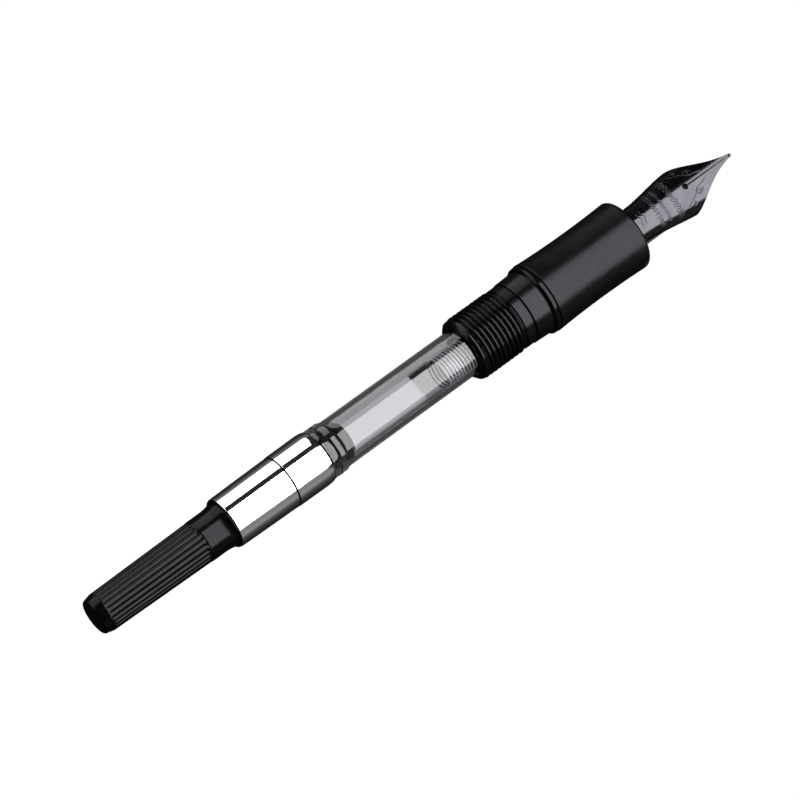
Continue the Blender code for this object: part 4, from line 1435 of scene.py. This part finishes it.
def pose(x_axis, y_axis, z_axis, place):
    """The world matrix with these axes and origin (metres)."""
    rows = [(x_axis[i], y_axis[i], z_axis[i], place[i]) for i in range(3)]
    return Matrix((*rows, (0.0, 0.0, 0.0, 1.0)))


def softbox(name, angle_deg, half_deg, distance, length, radiance, x_offset, colour):
    """A long rectangular softbox parallel to the axis. angle_deg is its centre's angle from +Z
    towards -Y, half_deg half the angle it spans; its lengths are metres."""
    angle = math.radians(angle_deg)
    direction = Vector((0.0, -math.sin(angle), math.cos(angle)))
    width = 2 * distance * math.tan(math.radians(half_deg))
    data = bpy.data.lights.new(name, "AREA")
    data.shape = "RECTANGLE"
    data.size = length
    data.size_y = width
    data.energy = radiance * math.pi * length * width
    data.color = colour
    lamp = bpy.data.objects.new(name, data)
    lamp.visible_transmission = False
    bpy.context.scene.collection.objects.link(lamp)
    place = direction * distance + Vector((x_offset, 0.0, 0.0))
    x_axis = Vector((1.0, 0.0, 0.0))
    lamp.matrix_world = pose(x_axis, direction.cross(x_axis), direction, place)


def build_lights():
    softbox(
        "key_softbox",
        angle_deg=24.0,
        half_deg=45.0,
        distance=0.40,
        length=0.57,
        radiance=7.3,
        x_offset=0.255,
        colour=(1.0, 0.985, 1.0),
    )
    softbox(
        "side_softbox",
        angle_deg=-72.25,
        half_deg=29.75,
        distance=0.40,
        length=1.10,
        radiance=2.8,
        x_offset=-0.368,
        colour=(0.985, 0.985, 1.0),
    )


def build_world():
    """A dark room with a pale wall on the pen's right (-Y); the camera sees white."""
    world = bpy.data.worlds.new("studio")
    bpy.context.scene.world = world
    world.use_nodes = True
    look = Nodes(world.node_tree)
    room = look.tree.nodes["Background"]
    room.inputs["Color"].default_value = (0.93, 0.93, 1.0, 1.0)
    direction = look.axes(look.add("ShaderNodeTexCoord").outputs["Generated"])
    wall = look.spread(direction["Y"], out=(0.25, 0.025), over=(-0.90, -0.80))
    look.put(wall, room.inputs["Strength"])
    backdrop = look.add("ShaderNodeBackground")
    backdrop.inputs["Color"].default_value = WHITE
    backdrop.inputs["Strength"].default_value = BACKDROP
    camera_ray = look.add("ShaderNodeLightPath").outputs["Is Camera Ray"]
    seen = look.pick(
        camera_ray, room.outputs["Background"], backdrop.outputs["Background"]
    )
    look.put(seen, look.tree.nodes["World Output"].inputs["Surface"])


VIEW_FROM = (-0.350, -0.1659, 0.9220)  # direction from the pen to the camera
VIEW_ROLL = 35.8436  # degrees
VIEW_STATION, VIEW_SHIFT = -23.8, 0.31  # aim along the axis, and across it
VIEW_DISTANCE = 0.5093  # metres


def build_camera():
    """Looks down on the pen from behind and to its right, along a long lens."""
    toward = Vector(VIEW_FROM).normalized()
    x_axis = Vector((1.0, 0.0, 0.0))
    along = (x_axis - toward * x_axis.dot(toward)).normalized()
    across = toward.cross(along)
    roll = math.radians(VIEW_ROLL)
    right = along * math.cos(roll) - across * math.sin(roll)
    up_axis = along * math.sin(roll) + across * math.cos(roll)
    target = Vector(((VIEW_STATION + SEAT) * MILLI, 0.0, 0.0)) - across * VIEW_SHIFT * MILLI
    data = bpy.data.cameras.new("camera")
    data.lens = 171.9
    data.sensor_width = 36.0
    data.clip_start, data.clip_end = 0.01, 10.0
    camera = bpy.data.objects.new("camera", data)
    bpy.context.scene.collection.objects.link(camera)
    camera.matrix_world = pose(right, up_axis, toward, target + toward * VIEW_DISTANCE)
    bpy.context.scene.camera = camera


def set_render():
    scene = bpy.context.scene
    scene.view_settings.view_transform = "Standard"
    scene.view_settings.look = "None"
    cycles = scene.cycles
    cycles.use_denoising = True
    cycles.max_bounces = 24
    cycles.transmission_bounces = 16
    cycles.glossy_bounces = 8
    cycles.transparent_max_bounces = 16
    cycles.caustics_refractive = True
    cycles.caustics_reflective = True
    cycles.sample_clamp_indirect = 8.0


build_pieces()
build_floor()
build_lights()
build_world()
build_camera()
set_render()
